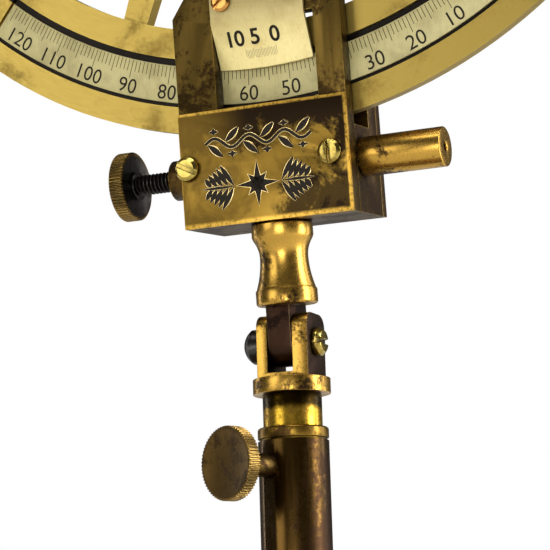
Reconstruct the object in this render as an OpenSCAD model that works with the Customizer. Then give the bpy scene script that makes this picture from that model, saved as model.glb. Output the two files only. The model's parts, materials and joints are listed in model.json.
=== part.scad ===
/* [Stand] */
// Diameter of the wooden base
base_d = 150; // [130:5:170]
// Height of the wooden base above the felt
base_h = 24; // [20:1:30]
// Outer diameter of the column tube
tube_d = 21; // [20.5:0.5:24]
// Height of the column tube's top edge above the table
tube_top = 150; // [140:0.1:170]
// Diameter of the sliding post rod
rod_d = 17.5; // [17:0.1:17.8]
// Height of the tilt axis above the column tube's top edge
pivot_rise = 29; // [28:0.1:34]

/* [Head] */
// Angle by which the head leans towards the front at rest
head_tilt = 6; // [0:0.5:12]
// Outer radius of the limb
limb_r = 150; // [150:1:152]
// Width of the limb's end block
block_w = 54; // [52:1:56]
// Height of the name plate and of the block behind it
block_h = 34.7; // [34:0.1:36]
// Reading under the middle of the arm at rest
rest_reading = 55.7; // [50:0.1:65]
// Arc taken by one unit of the scale, in degrees
unit_deg = 0.57; // [0.5:0.01:0.58]

/* [Shades and telescope] */
// Outer diameter of a shade ring
shade_d = 30; // [28:1:31]
// Angles by which the index shades are swung out at rest
index_shade_swing = [0, 32, 68]; // [0:1:90]
// Angles by which the horizon shades are swung out at rest
horizon_shade_swing = [0, 55]; // [0:1:90]
// Outer diameter of the telescope's main tube
scope_d = 24; // [22:0.5:24]
// Length of the telescope's main tube
scope_l = 72; // [66:1:76]

/* [Hidden] */

$fn = 96;
fit = 0.05;          // radial clearance of a running or seated fit
brass = "#a8873f";
bronze = "#5d4a26";
dark = "#2a2420";
silver = "#cfcfc0";

// Stand
felt_t = 1.5;
wood_top = felt_t + base_h;
flange_floor = 2;
flange_screw_pcd = 51;
tube_bore_r = rod_d / 2 + fit;
collar_h = 4;
clamp_z = tube_top - 7.5;
clamp_azimuth = -24;
spigot_r = 5;
rod_foot_z = 62;
bush_h = 11.6;
pivot_z = tube_top + pivot_rise;

// Tilt knuckle, heights counted from the tilt axis
fork_floor = -9;
fork_base = -10.6;
fork_flange_t = 4.5;
fork_flange_r = 11.5;
fork_depth = 14;
ear_top = 8.5;
ear_left = [-8, -4.6];
ear_right = [3.4, 8.2];
tongue_w = 7.4;
tongue_x = -0.6;
tongue_r = 6.7;
bolt_r = 2.5;

// Head, heights counted from the tilt axis, depth from the block's middle
neck_z0 = 11.6;
neck_z1 = 36.3;
neck_rim_r = 9.2;
neck_waist_r = 7.2;
neck_waist_z = 26.2;
block_z0 = neck_z1;
block_z1 = block_z0 + block_h;
plate_t = 1;
plate_y = -10.2;
arm_front = plate_y + plate_t;
arm_back = -4;
arm_bar_front = -7.5;
core_back = 14.4;
back_plate_t = 3.4;
back_screw_tip = 8.8;
core_top = 62.3;
leg_top = 92;
limb_clamp_z = 72;
limb_front = -3.7;
limb_t = 4;
limb_back = limb_front + limb_t;
leg_front = 7.6;
shoe_front = limb_back + 0.5;
shoe_t = 5.6;
apex_z = 63.6 + limb_r;
window_x0 = -14.2;
window_x1 = 18.4;
window_z0 = 71.3;
window_z1 = 97;
screw_axis_y = 1.5;
screw_axis_z = 53;
thread_r = 3.175;
plunger_r = 4.2;
spigot_thread_r = 5.1;
boss_r = 6.1;
boss_l = 7.2;
knob_gap = 20.8;
vernier_t = 1.1;
vernier_w = 30;
vernier_edge_lap = 1.2;

// Limb and scale, radii from the apex
inner_r = limb_r - 31.4;
groove_r0 = limb_r - 22.4;
scale_r0 = limb_r - 20.3;
scale_r1 = limb_r - 9.1;
groove_r1 = limb_r - 7.9;
recess_t = 0.9;
limb_half = 41;
scale_half = 37.8;
rest_swing = (60 - rest_reading) * unit_deg;
vernier_edge_r = scale_r0 + vernier_edge_lap;
strut_front = -1;
strut_back = 3.8;

// Optics, seen from the front with the apex as centre
horizon_at = [-66, -44];
scope_at = [60, -44];
optic_y = -32;
path_deg = atan2(-horizon_at[1], -horizon_at[0]);
mirror_turn = 60 * unit_deg - path_deg / 2;
index_pin_at = 20;
pin_y = -14;
index_shade_s = [36, 41, 46];
horizon_shade_x = [-88, -93];
shade_lug = [-96, -64];

// ---------- helpers ----------

// Puts the head's parts on the tilt axis, leaning forward by the rest angle
module head() {
    translate([0, 0, pivot_z]) rotate([head_tilt, 0, 0]) children();
}

// Puts the swinging frame's parts at the apex, turned to the reading at rest
module swing_frame() {
    head() translate([0, 0, apex_z]) rotate([0, rest_swing, 0]) children();
}

// A plate whose outline is drawn as [x, z], from depth y0 to y1
module slab(y0, y1) {
    translate([0, y1, 0]) rotate([90, 0, 0]) linear_extrude(y1 - y0) children();
}

// A cylinder along Y at [x, z]
module pin_y(x, z, y0, y1, r) {
    translate([x, y1, z]) rotate([90, 0, 0]) cylinder(h = y1 - y0, r = r);
}

// A cylinder along X at [y, z]
module pin_x(x0, x1, y, z, r) {
    translate([x0, y, z]) rotate([0, 90, 0]) cylinder(h = x1 - x0, r = r);
}

module ring(r_out, r_in, h) {
    difference() {
        cylinder(h = h, r = r_out);
        translate([0, 0, -1]) cylinder(h = h + 2, r = r_in);
    }
}

// Point at radius r from the origin, angle counted from straight down towards +X
function below(r, a) = [r * sin(a), -r * cos(a)];

// A ring sector about the apex, from depth y0 to y1, true arcs
module sector(r0, r1, half, y0, y1) {
    translate([0, y1, 0]) rotate([90, 0, 0]) rotate([0, 0, -90 - half]) rotate_extrude(angle = 2 * half)
        translate([r0, 0]) square([r1 - r0, y1 - y0]);
}

// A bar between two points with its own end widths
module bar(p, q, w0, w1) {
    d = (q - p) / norm(q - p);
    n = [-d[1], d[0]];
    polygon([p + n * w0 / 2, p - n * w0 / 2, q - n * w1 / 2, q + n * w1 / 2]);
}

// A slotted screw head on a face at z = 0, with its shank below
module slotted_screw(head_r, head_h, shank_r, shank_l, slot_turn = 0) {
    difference() {
        union() {
            cylinder(h = head_h * 0.6, r = head_r);
            translate([0, 0, head_h * 0.6]) cylinder(h = head_h * 0.4, r1 = head_r, r2 = head_r * 0.72);
            translate([0, 0, -shank_l]) cylinder(h = shank_l + 0.1, r = shank_r);
        }
        rotate([0, 0, slot_turn]) translate([-head_r - 1, -head_r * 0.18, head_h * 0.45])
            cube([2 * head_r + 2, head_r * 0.36, head_h]);
    }
}

// A screw driven into a front face (towards -Y) at [x, z]
module front_screw(x, z, y, head_r, head_h, shank_r, shank_l, turn) {
    translate([x, y, z]) rotate([90, 0, 0]) slotted_screw(head_r, head_h, shank_r, shank_l, turn);
}

// A screw driven into a back face (towards +Y) at [x, z]
module back_screw(x, z, y, head_r, head_h, shank_r, shank_l, turn) {
    translate([x, y, z]) rotate([-90, 0, 0]) slotted_screw(head_r, head_h, shank_r, shank_l, turn);
}

// A knob with straight flutes along its rim, axis +Z
module fluted_knob(r, h, flutes) {
    difference() {
        union() {
            cylinder(h = 0.7, r1 = r - 0.7, r2 = r);
            translate([0, 0, 0.7]) cylinder(h = h - 1.4, r = r);
            translate([0, 0, h - 0.7]) cylinder(h = 0.7, r1 = r, r2 = r - 0.7);
        }
        for (i = [0:flutes - 1]) rotate([0, 0, i * 360 / flutes])
            translate([r + 0.15, 0, -1]) cylinder(h = h + 2, r = 0.55, $fn = 16);
    }
}

// Quarter of a bead or cove for turned profiles: centre, radius, start and end angle
function turn_arc(c, r, a0, a1, n = 8) = [for (i = [0:n]) let (a = a0 + (a1 - a0) * i / n)
    [c[0] + r * cos(a), c[1] + r * sin(a)]];

// ---------- stand ----------

module base_felt() {
    color("#2f4a35") cylinder(h = felt_t, r = base_d / 2 - 4);
}

module base_wood() {
    r = base_d / 2;
    color("#5a2f1a") difference() {
        rotate_extrude() polygon(concat(
            [[0, felt_t], [r - 1.5, felt_t], [r, felt_t + 1.5]],
            turn_arc([r - 4, felt_t + 6], 4, 0, 70),
            [[r - 8, felt_t + 10.5]],
            turn_arc([r - 8, felt_t + 18.5], 8, -90, -178),
            [[r - 18, felt_t + 19.5]],
            turn_arc([r - 22, felt_t + base_h - 4], 4, 0, 90),
            [[0, wood_top]]));
        for (a = [45:90:315]) rotate([0, 0, a]) translate([flange_screw_pcd / 2, 0, wood_top - 14])
            cylinder(h = 20, r = 1.8);
    }
}

module base_flange() {
    color(brass) translate([0, 0, wood_top]) difference() {
        rotate_extrude() polygon(concat(
            [[0, 0], [30, 0], [31, 1]],
            turn_arc([29.5, 2], 1.5, 0, 90, 6),
            [[22, 3.5]],
            turn_arc([22, 9.5], 6, -90, -176, 6),
            [[15.5, 22]],
            turn_arc([14.5, 22.5], 1.5, 0, 90, 6),
            [[0, 24]]));
        translate([0, 0, flange_floor]) cylinder(h = 30, r = tube_d / 2 + fit);
        for (a = [45:90:315]) rotate([0, 0, a]) translate([flange_screw_pcd / 2, 0, -1])
            cylinder(h = 6, r = 2.1);
    }
}

module flange_screws() {
    color(brass) for (a = [45:90:315]) rotate([0, 0, a])
        translate([flange_screw_pcd / 2, 0, wood_top + 3.55]) slotted_screw(3.3, 1.6, 1.75, 15, a);
}

module column_tube() {
    foot = wood_top + flange_floor;
    color(bronze) difference() {
        translate([0, 0, foot]) cylinder(h = tube_top - foot, r = tube_d / 2);
        translate([0, 0, wood_top]) cylinder(h = tube_top, r = tube_bore_r);
        clamp_axis() cylinder(h = 40, r = 2.1);
    }
}

module column_collar() {
    color(bronze) translate([0, 0, tube_top]) {
        ring(tube_d / 2 - 0.7, tube_bore_r, 0.7);
        translate([0, 0, 0.7]) ring(tube_d / 2, tube_bore_r, collar_h - 1.2);
        translate([0, 0, collar_h - 0.5]) difference() {
            cylinder(h = 0.5, r1 = tube_d / 2, r2 = tube_d / 2 - 0.5);
            translate([0, 0, -1]) cylinder(h = 3, r = tube_bore_r);
        }
    }
}

// The clamp screw's axis, +Z pointing out of the column
module clamp_axis() {
    translate([0, 0, clamp_z]) rotate([0, 0, clamp_azimuth]) rotate([90, 0, 0]) children();
}

module clamp_boss() {
    color(bronze) difference() {
        clamp_axis() translate([0, 0, 9.6]) cylinder(h = 8, r = 3.5);
        translate([0, 0, clamp_z - 10]) cylinder(h = 20, r = tube_d / 2 + 0.02);
        clamp_axis() cylinder(h = 40, r = 2.05);
    }
}

module column_clamp_screw() {
    color(bronze) clamp_axis() {
        translate([0, 0, tube_bore_r + 0.35]) cylinder(h = 14, r = 2);
        translate([0, 0, 17.8]) cylinder(h = 5.7, r = 3.5);
        translate([0, 0, 23]) fluted_knob(10.8, 4, 44);
    }
}

// ---------- sliding post ----------

module guide_bush() {
    color(brass) translate([0, 0, rod_foot_z - 0.2 - bush_h]) ring(rod_d / 2, spigot_r + fit, bush_h);
}

module post_rod() {
    top = pivot_z + fork_base - fork_flange_t;
    color(bronze) difference() {
        union() {
            translate([0, 0, rod_foot_z]) cylinder(h = top - rod_foot_z, r = rod_d / 2);
            translate([0, 0, rod_foot_z - 12]) cylinder(h = 12.5, r = spigot_r);
            translate([0, 0, rod_foot_z - 18]) cylinder(h = 7, r = 4);
        }
        translate([0, 0, top - 8.5]) cylinder(h = 10, r = spigot_r + fit);
    }
}

module rod_end_nut() {
    color(brass) translate([0, 0, rod_foot_z - 16.5]) difference() {
        cylinder(h = 4.4, r = 8, $fn = 6);
        translate([0, 0, -1]) cylinder(h = 8, r = 4.03);
    }
}

// Outline of one fork ear or of the fork's base, as [depth, height]
module ear_outline() {
    r = 4;
    h = fork_depth / 2;
    polygon(concat(
        [[-h, fork_base], [h, fork_base]],
        turn_arc([h - r, ear_top - r], r, 0, 90),
        turn_arc([-h + r, ear_top - r], r, 90, 180)));
}

module tilt_fork() {
    flange_z = fork_base - fork_flange_t;
    color(brass) translate([0, 0, pivot_z]) {
        difference() {
            union() {
                for (e = [ear_left, ear_right]) translate([e[0], 0, 0]) rotate([90, 0, 90])
                    linear_extrude(e[1] - e[0]) ear_outline();
                translate([ear_left[0], -fork_depth / 2, fork_base])
                    cube([ear_right[1] - ear_left[0], fork_depth, fork_floor - fork_base]);
                translate([0, 0, flange_z]) cylinder(h = fork_flange_t + 0.05, r = fork_flange_r);
                translate([0, 0, flange_z - 8]) cylinder(h = 9, r = spigot_r);
            }
            pin_x(-12, 12, 0, 0, bolt_r + fit);
        }
    }
}

module tilt_bolt() {
    color(brass) translate([0, 0, pivot_z]) {
        translate([ear_right[1] + 0.02, 0, 0]) rotate([0, 90, 0]) slotted_screw(4.3, 2.7, bolt_r, 18.6, 90);
    }
}

module tilt_nut() {
    dome = turn_arc([0, 0.2], 6.22, 33, 90, 8);
    color(dark) translate([ear_left[0] - 0.02, 0, pivot_z]) rotate([0, -90, 0]) difference() {
        rotate_extrude() polygon(concat([[0, 0], [5.2, 0], [5.2, 3.6]], dome));
        translate([0, 0, -1]) cylinder(h = 4.4, r = bolt_r + fit);
    }
}

// ---------- head carried by the neck ----------

module tilt_tongue() {
    color(dark) head() difference() {
        union() {
            pin_x(tongue_x - tongue_w / 2, tongue_x + tongue_w / 2, 0, 0, tongue_r);
            translate([tongue_x - tongue_w / 2, -tongue_r, 0]) cube([tongue_w, 2 * tongue_r, neck_z0]);
            translate([0, 0, neck_z0 - 0.1]) cylinder(h = 6, r = 3.6);
        }
        pin_x(-8, 8, 0, 0, bolt_r + fit);
    }
}

// Radius of the neck's hollow at height z
function neck_r(z) = z < neck_waist_z
    ? neck_waist_r + 1.5 * pow((neck_waist_z - z) / 9.2, 2)
    : neck_waist_r + 1.7 * pow((z - neck_waist_z) / 5.2, 2);

module neck() {
    low = neck_z0;
    top = neck_z1;
    color(brass) head() difference() {
        union() {
            rotate_extrude() polygon(concat(
                [[0, low], [neck_rim_r - 0.5, low], [neck_rim_r, low + 0.6], [neck_rim_r, low + 4.4],
                    [neck_rim_r - 0.4, low + 5]],
                [for (i = [0:14]) let (z = 17 + (31.4 - 17) * i / 14) [neck_r(z), z]],
                [[neck_rim_r, 32.2], [neck_rim_r, top - 0.5], [neck_rim_r - 0.5, top], [0, top]]));
            translate([0, 0, top - 0.1]) cylinder(h = 6.1, r = 3);
        }
        translate([0, 0, low - 1]) cylinder(h = 7.2, r = 3.6 + fit);
    }
}

module block_core() {
    w = block_w / 2;
    color(bronze) head() difference() {
        union() {
            translate([-w, arm_back, block_z0]) cube([block_w, core_back - arm_back, core_top - block_z0]);
            for (s = [-w, 13]) translate([s, leg_front, core_top - 1])
                cube([w - 13, core_back - leg_front, leg_top - core_top + 1]);
            pin_x(-w - boss_l, -w + 1, screw_axis_y, screw_axis_z, boss_r);
        }
        // channel for the slider behind the limb
        translate([-12.5, shoe_front - 0.2, 43.5]) cube([25, core_back, 30]);
        // pocket for the slider's lug
        translate([-8.5, -3.6, 46]) cube([17, 5, 14.2]);
        pin_x(-w - boss_l - 1, 0, screw_axis_y, screw_axis_z, thread_r + fit);
        pin_x(0, w + 1, screw_axis_y, screw_axis_z, plunger_r + 0.1);
        pin_x(w - 9, w + 1, screw_axis_y, screw_axis_z, spigot_thread_r + fit);
        translate([0, 0, block_z0 - 1]) cylinder(h = 7.2, r = 3 + fit);
        back_screw_holes(1.6);
    }
}

back_screw_at = [[-22, 42], [22, 42], [-20, 85], [20, 85]];

module back_screw_holes(r) {
    for (p = back_screw_at) pin_y(p[0], p[1], back_screw_tip, 20, r);
}

module back_plate() {
    color(bronze) head() difference() {
        translate([-block_w / 2, core_back, block_z0]) cube([block_w, back_plate_t, leg_top - block_z0]);
        back_screw_holes(1.6);
        // slot for the limb clamp screw
        translate([-2.8, core_back - 1, limb_clamp_z - 3.4]) cube([5.6, 6, 6.8]);
        for (s = [-2.8, 2.8]) pin_y(s, limb_clamp_z, core_back - 1, core_back + 5, 3.4);
    }
}

module back_plate_screws() {
    y = core_back + back_plate_t + fit;
    color(brass) head() for (p = back_screw_at) back_screw(p[0], p[1], y, 3.1, 1.5, 1.55, 8.5, p[0] * 7);
}

module arm_outline() {
    w = block_w / 2;
    polygon([[-w, block_z0], [w, block_z0], [w, 100.2], [w - 4, 105.7], [15, 119], [13, 126],
        [10.5, apex_z - 18], [10.5, apex_z], [-10.5, apex_z], [-10.5, apex_z - 18],
        [-13, 126], [-15, 119], [-w + 4, 105.7], [-w, 100.2]]);
}

module index_arm() {
    color(bronze) head() difference() {
        union() {
            slab(arm_bar_front, arm_back) arm_outline();
            intersection() {
                slab(arm_front, arm_back) arm_outline();
                translate([-40, -20, 30]) cube([80, 20, 89]);
            }
            pin_y(0, apex_z, arm_bar_front, arm_back, 20);
        }
        translate([window_x0, arm_front - 1, window_z0])
            cube([window_x1 - window_x0, 12, window_z1 - window_z0]);
        pin_y(0, apex_z, -20, 0, spigot_r + fit);
        for (p = plate_screw_at) pin_y(p[0], p[1], plate_y, arm_back - 1.2, 1.7);
        for (p = vernier_screw_at) pin_y(p[0], p[1], plate_y, arm_back + 1, 1.3);
    }
}

plate_screw_at = [[-24.8, 54.4], [21.2, 54.2]];
vernier_screw_at = [[-10, 103], [12.3, 104]];

module name_plate() {
    color(brass) head() difference() {
        translate([-block_w / 2, plate_y, block_z0]) cube([block_w, plate_t, block_h]);
        for (p = plate_screw_at) pin_y(p[0], p[1], -20, 0, 1.7);
    }
}

module name_plate_screws() {
    color(brass) head() {
        front_screw(plate_screw_at[0][0], plate_screw_at[0][1], plate_y - fit, 3.6, 1.9, 1.65, 4.6, -28);
        front_screw(plate_screw_at[1][0], plate_screw_at[1][1], plate_y - fit, 3.6, 1.9, 1.65, 4.6, 90);
    }
}

module vernier_plate() {
    t = vernier_t;
    face = arm_front - t - 0.02;
    edge = limb_front - 0.35;
    color(silver) head() difference() {
        intersection() {
            translate([window_x0 + 0.2, 0, 0]) rotate([90, 0, 90]) linear_extrude(vernier_w)
                polygon([[face, 110], [face + t, 110], [face + t, 97.2], [edge, 84.6], [edge, 80],
                    [edge - t, 80], [edge - t, 84.2], [face, 96.6]]);
            pin_y(0, apex_z, -20, 0, vernier_edge_r);
        }
        for (p = vernier_screw_at) pin_y(p[0], p[1], -20, 0, 1.3);
    }
}

module vernier_screws() {
    y = arm_front - vernier_t - 0.04;
    color(brass) head() for (i = [0, 1])
        front_screw(vernier_screw_at[i][0], vernier_screw_at[i][1], y, 3, 1.5, 1.25, 2.4, 40 - 30 * i);
}

module spring_barrel() {
    w = block_w / 2;
    color(brass) head() difference() {
        union() {
            pin_x(w + 0.02, w + 25.5, screw_axis_y, screw_axis_z, 5.9);
            pin_x(w - 8.8, w + 1, screw_axis_y, screw_axis_z, spigot_thread_r);
        }
        pin_x(w - 10, w + 23, screw_axis_y, screw_axis_z, plunger_r + fit);
        pin_x(w, w + 30, screw_axis_y, screw_axis_z, 1.35);
    }
}

// Open coil of the spring drawn as a stack of rings
module barrel_spring() {
    spring_x0 = 31.5;
    coil_pitch = 2.3;
    wire_r = 0.5;
    color(silver) head() for (i = [0:7])
        translate([spring_x0 + i * coil_pitch, screw_axis_y, screw_axis_z]) rotate([0, 90, 0])
            rotate_extrude() translate([3.4, 0]) circle(r = wire_r, $fn = 16);
}

module pivot_spindle() {
    color(brass) head() pin_y(0, apex_z, arm_bar_front + 0.05, 11.5, spigot_r);
}

module spindle_nut() {
    color(brass) head() translate([0, 6.3, apex_z]) rotate([-90, 0, 0]) difference() {
        union() {
            cylinder(h = 1.2, r = 9);
            translate([0, 0, 1.1]) cylinder(h = 3.6, r = 8, $fn = 6);
        }
        translate([0, 0, -1]) cylinder(h = 8, r = spigot_r + 0.03);
    }
}

// Index mirror's own frame: local X across the glass, glass face at x = 0, local Z along the mirror
module mirror_place() {
    head() translate([0, 0, apex_z]) rotate([0, mirror_turn, 0]) children();
}

mirror_base_front = arm_bar_front - 2.5;

module index_mirror_frame() {
    color(brass) mirror_place() union() {
        difference() {
            pin_y(0, 0, mirror_base_front, arm_bar_front - 0.02, 18);
            for (s = [-12, 12]) pin_y(s, 0, -20, 0, 1.5);
        }
        translate([3.1, mirror_base_front - 39, -25]) cube([2, 39.5, 50]);
        translate([-1.2, mirror_base_front - 2.4, -25]) cube([6, 2.9, 50]);
        for (s = [-25, 22]) {
            translate([-1.2, mirror_base_front - 39, s]) cube([1.1, 39, 3]);
            translate([-1.2, mirror_base_front - 39, s < 0 ? s - 1.6 : s + 3]) cube([6.3, 39.5, 1.6]);
        }
    }
}

module index_mirror_glass() {
    color("#dfe8ea") mirror_place() translate([0, mirror_base_front - 39, -24.9]) cube([3, 36.5, 49.8]);
}

module tangent_screw() {
    w = block_w / 2;
    knob_in = -w - knob_gap;
    color(dark) head() {
        pin_x(knob_in - 1, 4.5, screw_axis_y, screw_axis_z, thread_r);
        pin_x(knob_in - 1, knob_in + 1.5, screw_axis_y, screw_axis_z, 4.6);
        translate([knob_in, screw_axis_y, screw_axis_z]) rotate([0, -90, 0]) fluted_knob(10.6, 4.6, 48);
    }
}

module clamp_slider() {
    color(brass) head() difference() {
        union() {
            translate([-9.5, shoe_front, 63]) cube([19, shoe_t, 25]);
            translate([-5, shoe_front, 44]) cube([10, shoe_t, 20]);
            translate([-5, -3.2, 46.6]) cube([10, 6, 13]);
        }
        pin_x(-12, 12, screw_axis_y, screw_axis_z, thread_r + fit);
        pin_y(0, limb_clamp_z, -2, 8, 3 + fit);
    }
}

module spring_plunger() {
    color(silver) head() difference() {
        pin_x(5.05, 31, screw_axis_y, screw_axis_z, plunger_r);
        pin_x(4, 10.5, screw_axis_y, screw_axis_z, thread_r + 0.2);
    }
}

module limb_clamp_screw() {
    color(bronze) head() translate([0, shoe_front + 0.5, limb_clamp_z]) rotate([-90, 0, 0]) {
        cylinder(h = 18.8, r = 3);
        translate([0, 0, 18.2]) fluted_knob(9, 6, 36);
    }
}

// ---------- frame that swings about the apex ----------

module strut_web() {
    for (s = [-1, 1]) {
        foot = below(inner_r + 2, 19 * s);
        mid = foot * (1 - 14 / norm(foot));
        bar([0, 0], mid, 12, 9);
        bar(mid, foot, 9, 8);
        lug = s < 0 ? horizon_at : scope_at;
        limb_end = below(inner_r + 2, 39 * s);
        bar([0, 0], lug, 16, 14);
        bar(lug, limb_end, 14, 12);
    }
}

module frame_casting() {
    tie = 62;
    color(brass) swing_frame() difference() {
        union() {
            sector(inner_r, limb_r, limb_half, limb_front, limb_back);
            slab(strut_front, strut_back) strut_web();
            sector(tie - 4, tie + 4, 50, strut_front, strut_back);
            pin_y(0, 0, arm_back + 0.3, 6, 19);
            slab(strut_front, strut_back) bar(horizon_at, shade_lug, 14, 13);
            pin_y(horizon_at[0], horizon_at[1], limb_front, strut_back, 13);
            pin_y(scope_at[0], scope_at[1], limb_front, strut_back, 13);
        }
        sector(groove_r0, groove_r1, scale_half + 0.4, limb_front - 1, limb_front + recess_t);
        pin_y(0, 0, -20, 20, spigot_r + fit);
        // keeps the band swept by the block's legs clear behind the limb
        sector(inner_r + 1, limb_r + 5, 60, limb_back, 20);
        pin_y(scope_at[0], scope_at[1], -20, 20, 3 + fit);
        for (p = handle_at) pin_y(p[0], p[1], -20, 20, 2 + fit);
    }
}

module scale_strip() {
    back = limb_front + recess_t - 0.02;
    color(silver) swing_frame() sector(scale_r0, scale_r1, scale_half, limb_front, back);
}

// Horizon mirror's own frame, turned so that it sends the index mirror's light into the telescope
module horizon_place() {
    swing_frame() translate([horizon_at[0], 0, horizon_at[1]]) rotate([0, -path_deg / 2, 0]) children();
}

module horizon_mirror_frame() {
    base = limb_front - 0.02;
    color(brass) horizon_place() union() {
        pin_y(0, 0, base - 2.5, base, 12);
        translate([-4, base - 10, -9]) cube([6, 8, 18]);
        difference() {
            translate([-4, optic_y - 16, -16]) cube([4.2, 32, 32]);
            translate([-2.6, optic_y - 14, -14]) cube([5, 28, 28]);
            translate([-5, optic_y - 12, -12]) cube([5, 24, 24]);
        }
        translate([-4, optic_y + 15.9, -9]) cube([4.2, base - 9 - optic_y - 15.9, 18]);
    }
}

module horizon_mirror_glass() {
    color("#dfe8ea") horizon_place() translate([-2.5, optic_y - 13.9, -13.9]) cube([2.5, 27.8, 27.8]);
}

module telescope_bracket() {
    base = limb_front - 0.02;
    color(brass) swing_frame() translate([scope_at[0], 0, scope_at[1]]) difference() {
        union() {
            pin_y(0, 0, base - 3, base, 9);
            pin_y(0, 0, base - 1, 12, 3);
            translate([-6, optic_y + 12, -5]) cube([12, base - optic_y - 12 - 2, 10]);
            translate([-6, optic_y, 0]) rotate([0, 90, 0]) cylinder(h = 12, r = scope_d / 2 + 2.2);
        }
        translate([-10, optic_y, 0]) rotate([0, 90, 0]) cylinder(h = 20, r = scope_d / 2 + fit);
    }
}

module telescope_bracket_nut() {
    color(brass) swing_frame() translate([scope_at[0], strut_back + fit, scope_at[1]]) rotate([-90, 0, 0])
        difference() {
            fluted_knob(8, 5, 32);
            translate([0, 0, -1]) cylinder(h = 8, r = 3 + fit);
        }
}

// Telescope parts lie along local +Z, which runs along the line of sight towards the eye
module scope_place() {
    swing_frame() translate([scope_at[0], optic_y, scope_at[1]]) rotate([0, 90, 0]) children();
}

scope_front = -22;
scope_back = scope_front + scope_l;
draw_r = scope_d / 2 - 2;

module telescope_tube() {
    color(brass) scope_place() difference() {
        union() {
            translate([0, 0, scope_front]) cylinder(h = scope_l, r = scope_d / 2);
            translate([0, 0, scope_back - 8]) cylinder(h = 8, r = scope_d / 2 + 1.2);
            translate([0, 0, 8]) cylinder(h = 2.5, r = scope_d / 2 + 1.2);
        }
        translate([0, 0, scope_front - 1]) cylinder(h = scope_l + 2, r = draw_r + fit);
    }
}

module objective_cell() {
    color(brass) scope_place() translate([0, 0, scope_front - 9]) difference() {
        cylinder(h = 15, r = 14);
        translate([0, 0, 7]) cylinder(h = 9, r = scope_d / 2 + fit);
        translate([0, 0, 2]) cylinder(h = 14, r = 11 + fit);
        translate([0, 0, -1]) cylinder(h = 14, r = 10);
    }
}

// A lens with two bulged faces, axis +Z, edge thickness e and bulge b
module lens(r, e, b) {
    big = (r * r + b * b) / (2 * b);
    a = asin(r / big);
    rotate_extrude() polygon(concat(
        [for (i = [0:8]) let (t = a * i / 8) [big * sin(t), -b + big * (1 - cos(t)) - e / 2]],
        [for (i = [8:-1:0]) let (t = a * i / 8) [big * sin(t), b - big * (1 - cos(t)) + e / 2]]));
}

module objective_lens() {
    color("#cfe3e6") scope_place() translate([0, 0, scope_front - 4.6]) lens(11, 1.6, 1.5);
}

module eyepiece_tube() {
    color(brass) scope_place() translate([0, 0, scope_back - 34]) difference() {
        union() {
            cylinder(h = 54, r = draw_r);
            translate([0, 0, 46]) cylinder(h = 6, r = 13);
            translate([0, 0, 52]) cylinder(h = 3, r1 = 13, r2 = 11.5);
        }
        translate([0, 0, -1]) cylinder(h = 47, r = draw_r - 1.5);
        translate([0, 0, 45]) cylinder(h = 5, r = 7 + fit);
        translate([0, 0, 40]) cylinder(h = 20, r = 5.5);
    }
}

module eyepiece_lens() {
    color("#cfe3e6") scope_place() translate([0, 0, scope_back - 34 + 48]) lens(7, 1.4, 1);
}

// ---------- handle behind the frame ----------

handle_at = [[30, -30], [30, -52]];
handle_x = 30;
handle_y = 36;
handle_z0 = -95;
handle_z1 = -14;

module handle_grip() {
    l = handle_z1 - handle_z0;
    swell = [for (i = [0:16]) let (t = i / 16)
        [10.5 + 3 * sin(180 * t) + 0.8 * sin(540 * t), 1 + (l - 2) * t]];
    color("#4a2414") swing_frame() translate([handle_x, handle_y, handle_z0]) difference() {
        rotate_extrude() polygon(concat([[0, 0], [8, 0]], swell, [[8, l], [0, l]]));
        translate([0, 0, -1]) cylinder(h = l + 2, r = 2.55);
    }
}

module handle_brackets() {
    color(brass) swing_frame() {
        for (i = [0, 1]) {
            z = i == 0 ? handle_z1 + 0.1 : handle_z0 - 4.1;
            foot_z = handle_at[i][1];
            difference() {
                union() {
                    translate([handle_x - 6, strut_back + 0.05, min(z, foot_z - 6)])
                        cube([12, 3, abs(z - foot_z) + 8]);
                    translate([handle_x - 6, strut_back + 0.05, z]) cube([12, handle_y - strut_back, 4]);
                    translate([handle_x, handle_y, z]) cylinder(h = 4, r = 8);
                }
                pin_y(handle_x, foot_z, -10, 20, 2 + fit);
                translate([handle_x, handle_y, z - 1]) cylinder(h = 6, r = 2.55);
            }
        }
    }
}

module handle_screws() {
    color(brass) swing_frame() {
        translate([handle_x, handle_y, handle_z0 - 7]) cylinder(h = handle_z1 - handle_z0 + 14, r = 2.5);
        for (s = [0, 1]) translate([handle_x, handle_y, s == 0 ? handle_z0 - 4.15 : handle_z1 + 4.15])
            rotate([s == 0 ? 180 : 0, 0, 0]) slotted_screw(5, 2.4, 2.5, 0, 30);
        for (p = handle_at) back_screw(p[0], p[1], strut_back + 3.1, 3.6, 1.8, 1.95, 8, p[1]);
    }
}

// ---------- shades ----------

// Index shades: local +Z runs along the light path from the apex to the horizon mirror,
// local X points out of the frame, local Y is the depth
module path_place() {
    swing_frame() rotate([0, -90 - path_deg, 0]) children();
}

module shade_ring(t) {
    difference() {
        union() {
            cylinder(h = t, r = shade_d / 2);
            linear_extrude(t) bar([0, 0], [index_pin_at, pin_y - optic_y + 2], 12, 8);
            translate([index_pin_at, pin_y - optic_y + 2, 0]) cylinder(h = t, r = 4.5);
        }
        translate([0, 0, -1]) cylinder(h = t + 2, r = shade_d / 2 - 3);
        translate([0, 0, t / 2 - 0.8]) cylinder(h = 1.6, r = shade_d / 2 - 2);
        translate([index_pin_at, pin_y - optic_y + 2, -1]) cylinder(h = t + 2, r = 2 + fit);
    }
}

module shade_glass() {
    cylinder(h = 1.5, r = shade_d / 2 - 2 - fit);
}

shade_t = 3.6;
shade_y = optic_y - 2;
glass_dz = shade_t / 2 - 0.75;

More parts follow.
